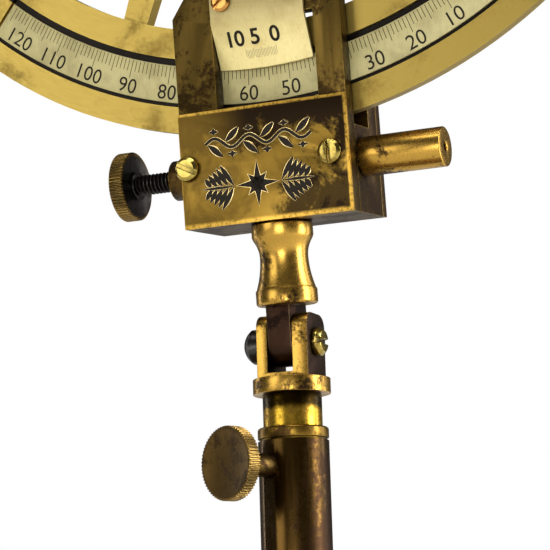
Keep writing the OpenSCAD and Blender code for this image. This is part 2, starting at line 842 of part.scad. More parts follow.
// Swings a shade out about its pin
module swung(a) {
    translate([index_pin_at, pin_y, 0]) rotate([0, 0, a]) translate([-index_pin_at, -pin_y, 0]) children();
}

module index_shade_at(i, dz = 0) {
    path_place() swung(index_shade_swing[i]) translate([0, shade_y, index_shade_s[i] + dz]) children();
}

module index_shade_1() {
    color(brass) index_shade_at(0) shade_ring(shade_t);
}

module index_shade_2() {
    color(brass) index_shade_at(1) shade_ring(shade_t);
}

module index_shade_3() {
    color(brass) index_shade_at(2) shade_ring(shade_t);
}

module index_shade_glass_1() {
    color("#8c2418") index_shade_at(0, glass_dz) shade_glass();
}

module index_shade_glass_2() {
    color("#2d5c36") index_shade_at(1, glass_dz) shade_glass();
}

module index_shade_glass_3() {
    color("#22304f") index_shade_at(2, glass_dz) shade_glass();
}

module index_shade_bracket() {
    s0 = index_shade_s[0] - 4;
    s1 = index_shade_s[2] + shade_t + 4;
    color(brass) path_place() {
        translate([index_pin_at, pin_y, s0 - 1.5]) cylinder(h = s1 - s0 + 3, r = 2);
        for (s = [s0 - 0.5, s1 - 2.5]) translate([index_pin_at - 4, pin_y - 4, s])
            cube([8, strut_front - pin_y + 4 - 0.05, 3]);
        translate([-6, strut_front - 2.65, s0 - 0.5]) cube([index_pin_at + 10, 2.6, s1 - s0 + 1]);
    }
}

// Horizon shades: local +Z runs along +X, local X points down
module horizon_shade_at(i, dx = 0) {
    swing_frame() translate([horizon_shade_x[i] + dx, 0, horizon_at[1]]) rotate([0, 90, 0])
        swung(horizon_shade_swing[i]) translate([0, shade_y, 0]) children();
}

module horizon_shade_1() {
    color(brass) horizon_shade_at(0) shade_ring(shade_t);
}

module horizon_shade_2() {
    color(brass) horizon_shade_at(1) shade_ring(shade_t);
}

module horizon_shade_glass_1() {
    color("#22304f") horizon_shade_at(0, glass_dz) shade_glass();
}

module horizon_shade_glass_2() {
    color("#2d5c36") horizon_shade_at(1, glass_dz) shade_glass();
}

module horizon_shade_bracket() {
    x0 = horizon_shade_x[1] - 3.5;
    x1 = horizon_shade_x[0] + shade_t + 3.5;
    pin_z = horizon_at[1] - index_pin_at;
    color(brass) swing_frame() {
        pin_x(x0 - 1.5, x1 + 1.5, pin_y, pin_z, 2);
        for (x = [x0 - 0.5, x1 - 2.5]) translate([x, pin_y - 4, pin_z - 4])
            cube([3, strut_front - pin_y + 4 - 0.05, 8]);
        translate([x0 - 0.5, strut_front - 2.65, pin_z - 4]) cube([x1 - x0 + 1, 2.6, 10]);
    }
}

base_felt();
base_wood();
base_flange();
flange_screws();
column_tube();
column_collar();
clamp_boss();
column_clamp_screw();
guide_bush();
post_rod();
rod_end_nut();
tilt_fork();
tilt_bolt();
tilt_nut();
tilt_tongue();
neck();
block_core();
back_plate();
back_plate_screws();
index_arm();
name_plate();
name_plate_screws();
vernier_plate();
vernier_screws();
spring_barrel();
barrel_spring();
pivot_spindle();
spindle_nut();
index_mirror_frame();
index_mirror_glass();
tangent_screw();
clamp_slider();
spring_plunger();
limb_clamp_screw();
frame_casting();
scale_strip();
horizon_mirror_frame();
horizon_mirror_glass();
telescope_bracket();
telescope_bracket_nut();
telescope_tube();
objective_cell();
objective_lens();
eyepiece_tube();
eyepiece_lens();
handle_grip();
handle_brackets();
handle_screws();
index_shade_bracket();
horizon_shade_bracket();
index_shade_1();
index_shade_glass_1();
index_shade_2();
index_shade_glass_2();
index_shade_3();
index_shade_glass_3();
horizon_shade_1();
horizon_shade_glass_1();
horizon_shade_2();
horizon_shade_glass_2();
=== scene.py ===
import json
import math
from functools import cache, partial

import bpy
from bpy.props import FloatProperty, FloatVectorProperty, IntProperty, PointerProperty
from mathutils import Matrix, Vector

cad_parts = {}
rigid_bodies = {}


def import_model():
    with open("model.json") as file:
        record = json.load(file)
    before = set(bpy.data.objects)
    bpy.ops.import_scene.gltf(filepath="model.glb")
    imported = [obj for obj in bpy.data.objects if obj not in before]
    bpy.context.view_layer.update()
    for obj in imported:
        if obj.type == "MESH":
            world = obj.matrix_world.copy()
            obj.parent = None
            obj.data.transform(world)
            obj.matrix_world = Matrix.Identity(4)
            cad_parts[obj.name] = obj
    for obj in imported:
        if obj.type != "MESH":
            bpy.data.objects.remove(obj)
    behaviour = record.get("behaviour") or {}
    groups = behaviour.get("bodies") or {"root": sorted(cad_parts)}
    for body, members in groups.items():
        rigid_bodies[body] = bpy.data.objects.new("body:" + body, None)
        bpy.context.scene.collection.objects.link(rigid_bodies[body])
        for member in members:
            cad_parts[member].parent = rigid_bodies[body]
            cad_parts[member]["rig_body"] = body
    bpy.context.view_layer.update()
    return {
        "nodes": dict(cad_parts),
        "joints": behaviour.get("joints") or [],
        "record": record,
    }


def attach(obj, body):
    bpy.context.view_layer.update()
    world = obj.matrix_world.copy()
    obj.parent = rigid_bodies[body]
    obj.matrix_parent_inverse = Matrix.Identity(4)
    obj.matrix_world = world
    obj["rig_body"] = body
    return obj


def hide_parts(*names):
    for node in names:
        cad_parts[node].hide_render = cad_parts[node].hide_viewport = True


bl_info = {
    "name": "Nautical sextant finish",
    "version": (1, 0, 0),
    "blender": (4, 5, 0),
    "location": "3D View > Sidebar > Sextant",
    "description": "Finished surfaces, graduations, engraving and stage for a brass sextant on its stand",
    "category": "Object",
}

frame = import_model()

MM = 0.001
JOINTS = {joint["name"]: joint for joint in frame["joints"]}
SLOT_OF = {part["node"]: part["material_slot"] for part in frame["record"]["subparts"]}


# ---------- places taken from the joints ----------

def joint_point(name):
    return Vector(JOINTS[name]["pos_m"])


def joint_axis(name):
    return Vector(JOINTS[name]["axis"]).normalized()


def placing(origin, x_axis, y_axis):
    """Matrix that puts local X and Y along the given directions at origin."""
    z_axis = x_axis.cross(y_axis).normalized()
    return Matrix.Translation(origin) @ Matrix((x_axis, y_axis, z_axis)).transposed().to_4x4()


PIVOT = joint_point("head_tilt")
APEX = joint_point("index_swing")
DEPTH = joint_axis("index_swing")
HEAD = placing(PIVOT, joint_axis("head_tilt"), DEPTH)
SWING = placing(APEX, joint_axis("eyepiece_draw"), DEPTH)
SCREW = placing(joint_point("tangent_turn"), joint_axis("tangent_turn"), DEPTH)


def local_box(node, matrix):
    """Lowest and highest corner of a CAD node in the axes of a placing matrix."""
    inverse = matrix.inverted()
    points = [inverse @ vertex.co for vertex in frame["nodes"][node].data.vertices]
    low = Vector([min(point[i] for point in points) for i in range(3)])
    high = Vector([max(point[i] for point in points) for i in range(3)])
    return low, high


# ---------- small modelling helpers ----------

def deselect():
    if bpy.context.object and bpy.context.object.mode != "OBJECT":
        bpy.ops.object.mode_set(mode="OBJECT")
    bpy.ops.object.select_all(action="DESELECT")


def pick(piece):
    deselect()
    piece.select_set(True)
    bpy.context.view_layer.objects.active = piece


def edit_all(piece):
    pick(piece)
    bpy.ops.object.mode_set(mode="EDIT")
    bpy.ops.mesh.select_all(action="SELECT")


def leave_edit():
    bpy.ops.object.mode_set(mode="OBJECT")


def apply_modifier(piece, kind, **settings):
    pick(piece)
    modifier = piece.modifiers.new(kind.title(), kind)
    for key, value in settings.items():
        setattr(modifier, key, value)
    bpy.ops.object.modifier_apply(modifier=modifier.name)


def move_mesh(piece, matrix):
    """Takes a piece modelled at the origin to its place, with the place in its mesh."""
    piece.data.transform(matrix)
    piece.data.update()


def join(name, pieces):
    deselect()
    for piece in pieces:
        piece.select_set(True)
    bpy.context.view_layer.objects.active = pieces[0]
    if len(pieces) > 1:
        bpy.ops.object.join()
    whole = bpy.context.object
    whole.name = name
    whole.data.name = name
    return whole


def smooth(piece, degrees=35):
    pick(piece)
    bpy.ops.object.shade_smooth_by_angle(angle=math.radians(degrees))


def finish(piece, body, slot, material, *nodes):
    """Gives a piece its material and lets it ride on its body, in place of CAD nodes; the slot argument is
    not used.
    """
    piece.data.materials.clear()
    piece.data.materials.append(material)
    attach(piece, body)
    if nodes:
        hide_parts(*nodes)
    return piece


def softened(node, width_mm, material, segments=2):
    """A copy of a CAD node with merged corners and rounded edges, which stands for the node."""
    source = frame["nodes"][node]
    piece = source.copy()
    piece.data = source.data.copy()
    for key in list(piece.keys()):
        del piece[key]
    piece.name = node + ".finish"
    piece.parent = None
    bpy.context.scene.collection.objects.link(piece)
    edit_all(piece)
    bpy.ops.mesh.customdata_custom_splitnormals_clear()
    bpy.ops.mesh.remove_doubles(threshold=0.004 * MM)
    bpy.ops.mesh.dissolve_limited(angle_limit=math.radians(1.0))
    leave_edit()
    apply_modifier(piece, "BEVEL", width=width_mm * MM, segments=segments, limit_method="ANGLE",
                   angle_limit=math.radians(38), use_clamp_overlap=True, miter_outer="MITER_ARC")
    smooth(piece)
    return finish(piece, source["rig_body"], SLOT_OF[node], material, node)


# ---------- materials ----------

class Shader:
    """A material whose nodes are added one call at a time; sockets given a socket are linked."""

    def __init__(self, name):
        self.material = bpy.data.materials.new(name)
        self.material.use_nodes = True
        self.tree = self.material.node_tree
        self.surface = next(n for n in self.tree.nodes if n.type == "BSDF_PRINCIPLED")

    def put(self, node, sockets):
        for key, value in sockets.items():
            socket = node.inputs[key]
            if isinstance(value, bpy.types.NodeSocket):
                self.tree.links.new(value, socket)
            else:
                socket.default_value = value

    def node(self, kind, settings=(), **sockets):
        node = self.tree.nodes.new("ShaderNode" + kind)
        for key, value in dict(settings).items():
            setattr(node, key, value)
        self.put(node, {key.replace("_", " "): value for key, value in sockets.items()})
        return node

    def math(self, operation, a, b=0.0, c=0.0, clamp=False):
        node = self.tree.nodes.new("ShaderNodeMath")
        node.operation = operation
        node.use_clamp = clamp
        self.put(node, {0: a, 1: b, 2: c})
        return node.outputs[0]

    def coordinates(self, matrix=None):
        """Object coordinates, or those of a placing matrix."""
        coords = self.node("TexCoord").outputs["Object"]
        if matrix is None:
            return coords
        mapping = self.node("Mapping", {"vector_type": "TEXTURE"}, Vector=coords,
                            Location=matrix.to_translation(), Rotation=matrix.to_euler())
        return mapping.outputs[0]

    def noise(self, vector, scale, detail=4.0, roughness=0.55, distortion=0.0):
        node = self.node("TexNoise", {}, Vector=vector, Scale=scale, Detail=detail, Roughness=roughness,
                         Distortion=distortion)
        return node.outputs["Fac"]

    def ramp(self, value, low, high):
        """0 at low, 1 at high, smooth between."""
        node = self.node("MapRange", {"interpolation_type": "SMOOTHSTEP"}, Value=value)
        self.put(node, {"From Min": low, "From Max": high})
        return node.outputs[0]

    def mix(self, factor, a, b, blend="MIX"):
        node = self.tree.nodes.new("ShaderNodeMix")
        node.data_type = "RGBA"
        node.blend_type = blend
        colour = [s for s in node.inputs if s.type == "RGBA"]
        self.put(node, {0: factor})
        for socket, value in zip(colour, (a, b)):
            if isinstance(value, bpy.types.NodeSocket):
                self.tree.links.new(value, socket)
            else:
                socket.default_value = (*value, 1.0)
        return next(s for s in node.outputs if s.type == "RGBA")

    def stretch(self, vector, scale):
        node = self.node("VectorMath", {"operation": "MULTIPLY"})
        self.put(node, {0: vector, 1: scale})
        return node.outputs[0]

    def edges(self, radius_mm):
        """1 along the edges of the shape, 0 on its flats."""
        rounded = self.node("Bevel", {"samples": 4}, Radius=radius_mm * MM).outputs[0]
        true_normal = self.node("NewGeometry").outputs["Normal"]
        node = self.node("VectorMath", {"operation": "DOT_PRODUCT"})
        self.put(node, {0: rounded, 1: true_normal})
        return self.ramp(node.outputs["Value"], 0.995, 0.86)

    def hollows(self, reach_mm):
        """1 in corners and hollows, 0 in the open; the mask by which shade is painted there."""
        node = self.node("AmbientOcclusion", {"samples": 4}, Distance=reach_mm * MM)
        return self.ramp(node.outputs["AO"], 0.85, 0.3)

    def bump(self, height, depth_mm, strength=1.0):
        node = self.node("Bump", {}, Height=height, Distance=depth_mm * MM, Strength=strength)
        return node.outputs[0]

    def done(self, **sockets):
        self.put(self.surface, {key.replace("_", " "): value for key, value in sockets.items()})
        return self.material


def aged_metal(name, bright, dark, amount=0.5, patch=55.0, roughness=0.32, wear=0.7, painted_corner_shade=0.8, matrix=None,
               brushed=(1.0, 1.0, 1.0), worn=None, fade=None):
    """Metal with a patina in clouds, bright worn edges and painted shade darkening its corners and hollows.

    amount is the share of the surface under the dark patina; brushed stretches the fine scratches; fade is
    an axis, the place where the metal keeps its tone, the place where it has lost it, and what is left."""
    shader = Shader(name)
    place = shader.coordinates(matrix)
    clouds = shader.noise(place, patch, 7.0, 0.62, 0.6)
    specks = shader.noise(place, patch * 14, 5.0, 0.7)
    scratches = shader.noise(shader.stretch(place, brushed), 900.0, 3.0, 0.6)
    mottled = shader.math("ADD", clouds, shader.math("MULTIPLY", shader.math("SUBTRACT", specks, 0.5), 0.35))
    border = 0.35 + 0.26 * amount
    patina = shader.math("SUBTRACT", 1.0, shader.ramp(mottled, border - 0.06, border + 0.06))
    base = shader.mix(patina, bright, dark)
    # painted shade: corners and hollows darkened towards a deep tone of the patina
    base = shader.mix(shader.math("MULTIPLY", shader.hollows(3.0), painted_corner_shade), base,
                      tuple(channel * 0.22 for channel in dark))
    edge = shader.math("MULTIPLY", shader.edges(0.45), wear)
    edge = shader.math("MULTIPLY", edge, shader.ramp(specks, 0.25, 0.55))
    base = shader.mix(edge, base, worn or tuple(min(1.0, channel * 1.25) for channel in bright))
    if fade:
        axis, keeps, lost, left = fade
        along = shader.node("SeparateXYZ", {}, Vector=place).outputs[axis]
        along = shader.math("MULTIPLY_ADD", shader.math("SUBTRACT", clouds, 0.5), 6 * MM, along)
        base = shader.mix(shader.ramp(along, keeps, lost), base, (left, left, left), "MULTIPLY")
    tone = shader.math("MULTIPLY_ADD", scratches, 0.16, roughness - 0.08)
    tone = shader.math("MULTIPLY_ADD", patina, 0.16, tone)
    tone = shader.math("MULTIPLY_ADD", edge, -0.08, tone)
    relief = shader.math("ADD", shader.math("MULTIPLY", scratches, 0.4), specks)
    return shader.done(Base_Color=base, Metallic=1.0, Roughness=tone, Normal=shader.bump(relief, 0.02, 0.35))


def limb_metal(name, bright, dark, groove_radii):
    """Satin brass brushed along the arc, with dark fill and painted shade in the two grooves beside the
    scale.
    """
    shader = Shader(name)
    place = shader.coordinates(SWING)
    split = shader.node("SeparateXYZ", {}, Vector=place)
    across, depth, up = split.outputs[0], split.outputs[1], split.outputs[2]
    squares = shader.math("ADD", shader.math("MULTIPLY", across, across), shader.math("MULTIPLY", up, up))
    radius = shader.math("SQRT", squares)
    angle = shader.math("ARCTAN2", across, up)
    arc = shader.node("CombineXYZ", {}, X=radius, Y=shader.math("MULTIPLY", angle, 0.012), Z=depth).outputs[0]
    clouds = shader.noise(place, 42.0, 7.0, 0.6, 0.5)
    specks = shader.noise(place, 800.0, 5.0, 0.7)
    brushing = shader.noise(arc, 2600.0, 3.0, 0.6)
    tarnish = shader.ramp(shader.math("ADD", clouds, shader.math("MULTIPLY", specks, 0.3)), 0.62, 0.86)
    base = shader.mix(tarnish, bright, dark)
    base = shader.mix(shader.math("MULTIPLY", brushing, 0.35), base, tuple(c * 0.62 for c in bright))
    # painted shade in the limb's corners and hollows
    base = shader.mix(shader.math("MULTIPLY", shader.hollows(2.5), 0.6), base, tuple(c * 0.3 for c in dark))
    edge = shader.math("MULTIPLY", shader.edges(0.4), 0.6)
    base = shader.mix(edge, base, tuple(min(1.0, c * 1.2) for c in bright))
    groove = 0.0
    front = shader.math("LESS_THAN", depth, local_box("scale_strip", SWING)[1].y + 0.15 * MM)
    for low, high in groove_radii:
        inside = shader.math("MULTIPLY", shader.math("GREATER_THAN", radius, low),
                             shader.math("LESS_THAN", radius, high))
        groove = shader.math("MAXIMUM", groove, inside)
    groove = shader.math("MULTIPLY", groove, front)
    # near-black in the two grooves: partly dark fill, partly painted shade
    base = shader.mix(groove, base, (0.012, 0.010, 0.008))
    tone = shader.math("MULTIPLY_ADD", brushing, 0.14, 0.30)
    tone = shader.math("MULTIPLY_ADD", tarnish, 0.12, tone)
    relief = shader.math("ADD", shader.math("MULTIPLY", brushing, 0.5), shader.math("MULTIPLY", specks, 0.4))
    return shader.done(Base_Color=base, Metallic=1.0, Roughness=tone, Normal=shader.bump(relief, 0.02, 0.3))


def silvered(name, colour, stain, matrix, painted_shade_heights=None):
    """Matt silvering with a greenish cream tone, faint vertical graining and small stains.

    The last argument gives two heights for a painted shade: below the first the tone is full, above the
    second about a third is left."""
    shader = Shader(name)
    place = shader.coordinates(matrix)
    clouds = shader.noise(place, 120.0, 6.0, 0.6)
    grain = shader.noise(shader.stretch(place, (9.0, 1.0, 1.0)), 420.0, 3.0, 0.6)
    specks = shader.noise(place, 1500.0, 3.0, 0.7)
    base = shader.mix(shader.ramp(clouds, 0.42, 0.72), colour, stain)
    base = shader.mix(shader.math("MULTIPLY", shader.ramp(grain, 0.45, 0.75), 0.35), base,
                      tuple(c * 0.72 for c in stain))
    base = shader.mix(shader.math("MULTIPLY", shader.ramp(specks, 0.62, 0.7), 0.35), base, (0.16, 0.14, 0.09))
    if painted_shade_heights:
        # painted shade: the upper part darkened to about a third of its tone
        height = shader.node("SeparateXYZ", {}, Vector=place).outputs[2]
        base = shader.mix(shader.ramp(height, *painted_shade_heights), base, (0.34, 0.30, 0.22), "MULTIPLY")
    # painted shade in the hollows, in a darkened stain tone
    base = shader.mix(shader.math("MULTIPLY", shader.hollows(1.0), 0.3), base, tuple(c * 0.25 for c in stain))
    return shader.done(Base_Color=base, Metallic=0.15, Roughness=0.46, Normal=shader.bump(grain, 0.015, 0.25))


def plate_metal(name, bright, dark, low, high):
    """The name plate: golden field, darker towards its top, its right side and its lower right corner."""
    shader = Shader(name)
    place = shader.coordinates(HEAD)
    split = shader.node("SeparateXYZ", {}, Vector=place)
    across = shader.ramp(split.outputs[0], low.x, high.x)
    up = shader.ramp(split.outputs[2], low.z, high.z)
    clouds = shader.noise(place, 75.0, 7.0, 0.62, 0.8)
    specks = shader.noise(place, 950.0, 5.0, 0.7)
    scratches = shader.noise(shader.stretch(place, (1.0, 1.0, 0.08)), 1500.0, 3.0, 0.6)
    uneven = shader.math("MULTIPLY", shader.math("SUBTRACT", clouds, 0.5), 1.6)
    uneven = shader.math("MULTIPLY_ADD", shader.math("SUBTRACT", specks, 0.5), 0.45, uneven)
    top = shader.ramp(shader.math("ADD", up, uneven), 0.56, 0.88)
    top = shader.math("MULTIPLY", top, shader.math("MULTIPLY_ADD", shader.ramp(across, 0.0, 0.4), 0.5, 0.5))
    right = shader.ramp(shader.math("ADD", across, uneven), 0.78, 1.02)
    corner = shader.math("SUBTRACT", across, shader.math("MULTIPLY", up, 0.9))
    corner = shader.math("MULTIPLY", shader.ramp(shader.math("ADD", corner, uneven), 0.48, 0.74), 0.9)
    shade = shader.math("MAXIMUM", top, shader.math("MAXIMUM", right, corner))
    middle = shader.ramp(shader.math("ADD", shader.math("MULTIPLY", clouds, 0.8), 0.1), 0.44, 0.62)
    shade = shader.math("MAXIMUM", shade, shader.math("MULTIPLY", middle, 0.45))
    base = shader.mix(shade, bright, dark)
    # painted shade in the hollows round the screws and along the plate's edges
    shade_round_screws = shader.math("MULTIPLY", shader.hollows(2.2), 0.85)
    base = shader.mix(shade_round_screws, base, tuple(c * 0.3 for c in dark))
    edge = shader.math("MULTIPLY", shader.edges(0.5), shader.ramp(specks, 0.2, 0.5))
    worn = shader.math("MAXIMUM", shader.ramp(split.outputs[0], high.x - 1.1 * MM, high.x - 0.5 * MM),
                       shader.ramp(split.outputs[2], high.z - 1.1 * MM, high.z - 0.5 * MM))
    worn = shader.math("MAXIMUM", worn, shader.ramp(split.outputs[2], low.z + 1.8 * MM, low.z + 0.6 * MM))
    edge = shader.math("MAXIMUM", edge, shader.math("MULTIPLY", worn, shader.ramp(specks, 0.3, 0.55)))
    base = shader.mix(edge, base, tuple(min(1.0, c * 2.6) for c in bright))
    tone = shader.math("MULTIPLY_ADD", shade, 0.14, 0.30)
    tone = shader.math("MULTIPLY_ADD", scratches, 0.14, tone)
    relief = shader.math("ADD", scratches, shader.math("MULTIPLY", specks, 1.2))
    return shader.done(Base_Color=base, Metallic=1.0, Roughness=tone, Normal=shader.bump(relief, 0.03, 0.45))


def polished_metal(name, colour, shade):
    """Bright metal with faint turning marks and a little tarnish."""
    shader = Shader(name)
    place = shader.coordinates()
    clouds = shader.noise(place, 260.0, 5.0, 0.6)
    specks = shader.noise(place, 2400.0, 3.0, 0.6)
    base = shader.mix(shader.ramp(clouds, 0.45, 0.7), colour, shade)
    # painted shade in the hollows
    base = shader.mix(shader.math("MULTIPLY", shader.hollows(1.2), 0.8), base, tuple(c * 0.15 for c in shade))
    tone = shader.math("MULTIPLY_ADD", specks, 0.14, 0.14)
    return shader.done(Base_Color=base, Metallic=1.0, Roughness=tone, Normal=shader.bump(specks, 0.01, 0.25))


def turned_wood(name, pale, deep, rings_along=(1.0, 1.0, 0.12)):
    """Waxed wood with stretched grain and pores."""
    shader = Shader(name)
    place = shader.coordinates()
    bent = shader.noise(place, 18.0, 3.0, 0.5)
    grain = shader.node("TexWave", {"wave_type": "BANDS", "bands_direction": "X"},
                        Vector=shader.stretch(place, rings_along), Scale=95.0, Distortion=6.0, Detail=3.0)
    pores = shader.noise(shader.stretch(place, (1.0, 0.08, 0.5)), 1800.0, 4.0, 0.7)
    base = shader.mix(shader.math("MULTIPLY", grain.outputs["Fac"], 0.8), pale, deep)
    base = shader.mix(shader.math("MULTIPLY", bent, 0.5), base, deep)
    base = shader.mix(shader.ramp(pores, 0.58, 0.7), base, tuple(c * 0.35 for c in deep))
    base = shader.mix(shader.math("MULTIPLY", shader.edges(0.8), 0.35), base, pale)
    tone = shader.math("MULTIPLY_ADD", pores, 0.2, 0.24)
    return shader.done(Base_Color=base, Roughness=tone, Coat_Weight=0.35, Coat_Roughness=0.12,
                       Normal=shader.bump(pores, 0.05, 0.35))


def felt(name, colour):
    shader = Shader(name)
    place = shader.coordinates()
    nap = shader.noise(place, 2600.0, 6.0, 0.8, 1.0)
    base = shader.mix(nap, tuple(c * 0.5 for c in colour), colour)
    return shader.done(Base_Color=base, Roughness=0.95, Sheen_Weight=0.5, Normal=shader.bump(nap, 0.2, 0.8))


def tinted_glass(name, colour, density):
    """Flat shade glass: a thin tint over a clear body, with faint streaks."""
    shader = Shader(name)
    place = shader.coordinates()
    streaks = shader.noise(place, 90.0, 3.0, 0.5)
    base = shader.mix(shader.math("MULTIPLY", streaks, 0.4), colour, tuple(c * 0.7 for c in colour))
    return shader.done(Base_Color=base, Roughness=0.03, Transmission_Weight=density, IOR=1.5)


def mirror_silver(name):
    shader = Shader(name)
    place = shader.coordinates()
    clouds = shader.noise(place, 70.0, 4.0, 0.6)
    spots = shader.noise(place, 900.0, 3.0, 0.6)
    base = shader.mix(shader.ramp(clouds, 0.5, 0.8), (0.86, 0.89, 0.90), (0.72, 0.75, 0.74))
    base = shader.mix(shader.ramp(spots, 0.70, 0.76), base, (0.25, 0.22, 0.17))
    tone = shader.math("MULTIPLY_ADD", clouds, 0.04, 0.01)
    return shader.done(Base_Color=base, Metallic=1.0, Roughness=tone)


def dark_fill(name, colour):
    """The black wax in engraved lines and figures."""
    shader = Shader(name)
    place = shader.coordinates()
    fade = shader.noise(place, 500.0, 4.0, 0.7)
    base = shader.mix(shader.ramp(fade, 0.55, 0.8), colour, tuple(min(1.0, c * 2.2 + 0.006) for c in colour))
    return shader.done(Base_Color=base, Roughness=0.6, Specular_IOR_Level=0.08)


# ---------- settings ----------

class SextantColours(bpy.types.PropertyGroup):
    """Base colours of the finishes."""

    limb: FloatVectorProperty(name="Limb brass", description="Satin brass of the frame and limb",
                              subtype="COLOR", min=0.0, max=1.0, default=(0.37, 0.262, 0.060))
    brass: FloatVectorProperty(name="Aged brass", description="Bright areas of the aged brass fittings",
                               subtype="COLOR", min=0.0, max=1.0, default=(0.46, 0.268, 0.048))
    bronze: FloatVectorProperty(name="Antique bronze", description="Brown areas of the antiqued castings",
                                subtype="COLOR", min=0.0, max=1.0, default=(0.085, 0.050, 0.013))
    patina: FloatVectorProperty(name="Patina", description="Dark patina over the brass",
                                subtype="COLOR", min=0.0, max=1.0, default=(0.032, 0.017, 0.007))
    silvering: FloatVectorProperty(name="Silvering", description="Silvered scale and vernier",
                                   subtype="COLOR", min=0.0, max=1.0, default=(0.44, 0.385, 0.165))


class SextantSizes(bpy.types.PropertyGroup):
    """Sizes of the graduations, the engraving and the thread."""

    edge_round: FloatProperty(name="Edge rounding", description="Rounding of machined edges, in millimetres",
                              default=0.3, min=0.05, max=0.6)
    figure_height: FloatProperty(name="Scale figures", description="Height of the figures on the scale",
                                 subtype="DISTANCE", unit="LENGTH", default=4.5 * MM, min=2 * MM, max=6 * MM)
    vernier_figure_height: FloatProperty(name="Vernier figures",
                                         description="Height of the figures on the vernier",
                                         subtype="DISTANCE", unit="LENGTH", default=4.7 * MM, min=2 * MM,
                                         max=6 * MM)
    line_width: FloatProperty(name="Graduation width", description="Width of a graduation line",
                              subtype="DISTANCE", unit="LENGTH", default=0.3 * MM, min=0.1 * MM, max=0.4 * MM)
    thread_pitch: FloatProperty(name="Thread pitch", description="Pitch of the tangent screw's thread",
                                subtype="DISTANCE", unit="LENGTH", default=1.27 * MM, min=0.8 * MM,
                                max=2 * MM)
    knurls: IntProperty(name="Knurls", description="Straight knurls round a knob", default=64, min=24, max=96)


class SextantStage(bpy.types.PropertyGroup):
    """Camera and light."""

    azimuth: FloatProperty(name="Azimuth", description="Camera's turn to the right of the front",
                           subtype="ANGLE", default=math.radians(23.27))
    rise: FloatProperty(name="Rise", description="Angle by which the camera looks up", subtype="ANGLE",
                        default=math.radians(10.48))
    roll: FloatProperty(name="Roll", description="Camera's roll", subtype="ANGLE",
                        default=math.radians(1.785))
    distance: FloatProperty(name="Distance", description="Camera to aim point", subtype="DISTANCE",
                            unit="LENGTH", default=0.6468)
    aim_height: FloatProperty(name="Aim height", description="Height of the aim point above the table",
                              subtype="DISTANCE", unit="LENGTH", default=0.1983)
    lens: FloatProperty(name="Lens", description="Focal length on a 36 mm sensor, in millimetres",
                        default=144.0)
    light: FloatProperty(name="Light", description="Strength of all lamps together", default=1.0, min=0.1)


def colours():
    return bpy.context.scene.sextant_colours


def sizes():
    return bpy.context.scene.sextant_sizes


MATERIALS = {}


def material(key):
    """The finish of that name, made the first time it is asked for."""
    if key not in MATERIALS:
        MATERIALS[key] = finishes()[key]()
    return MATERIALS[key]


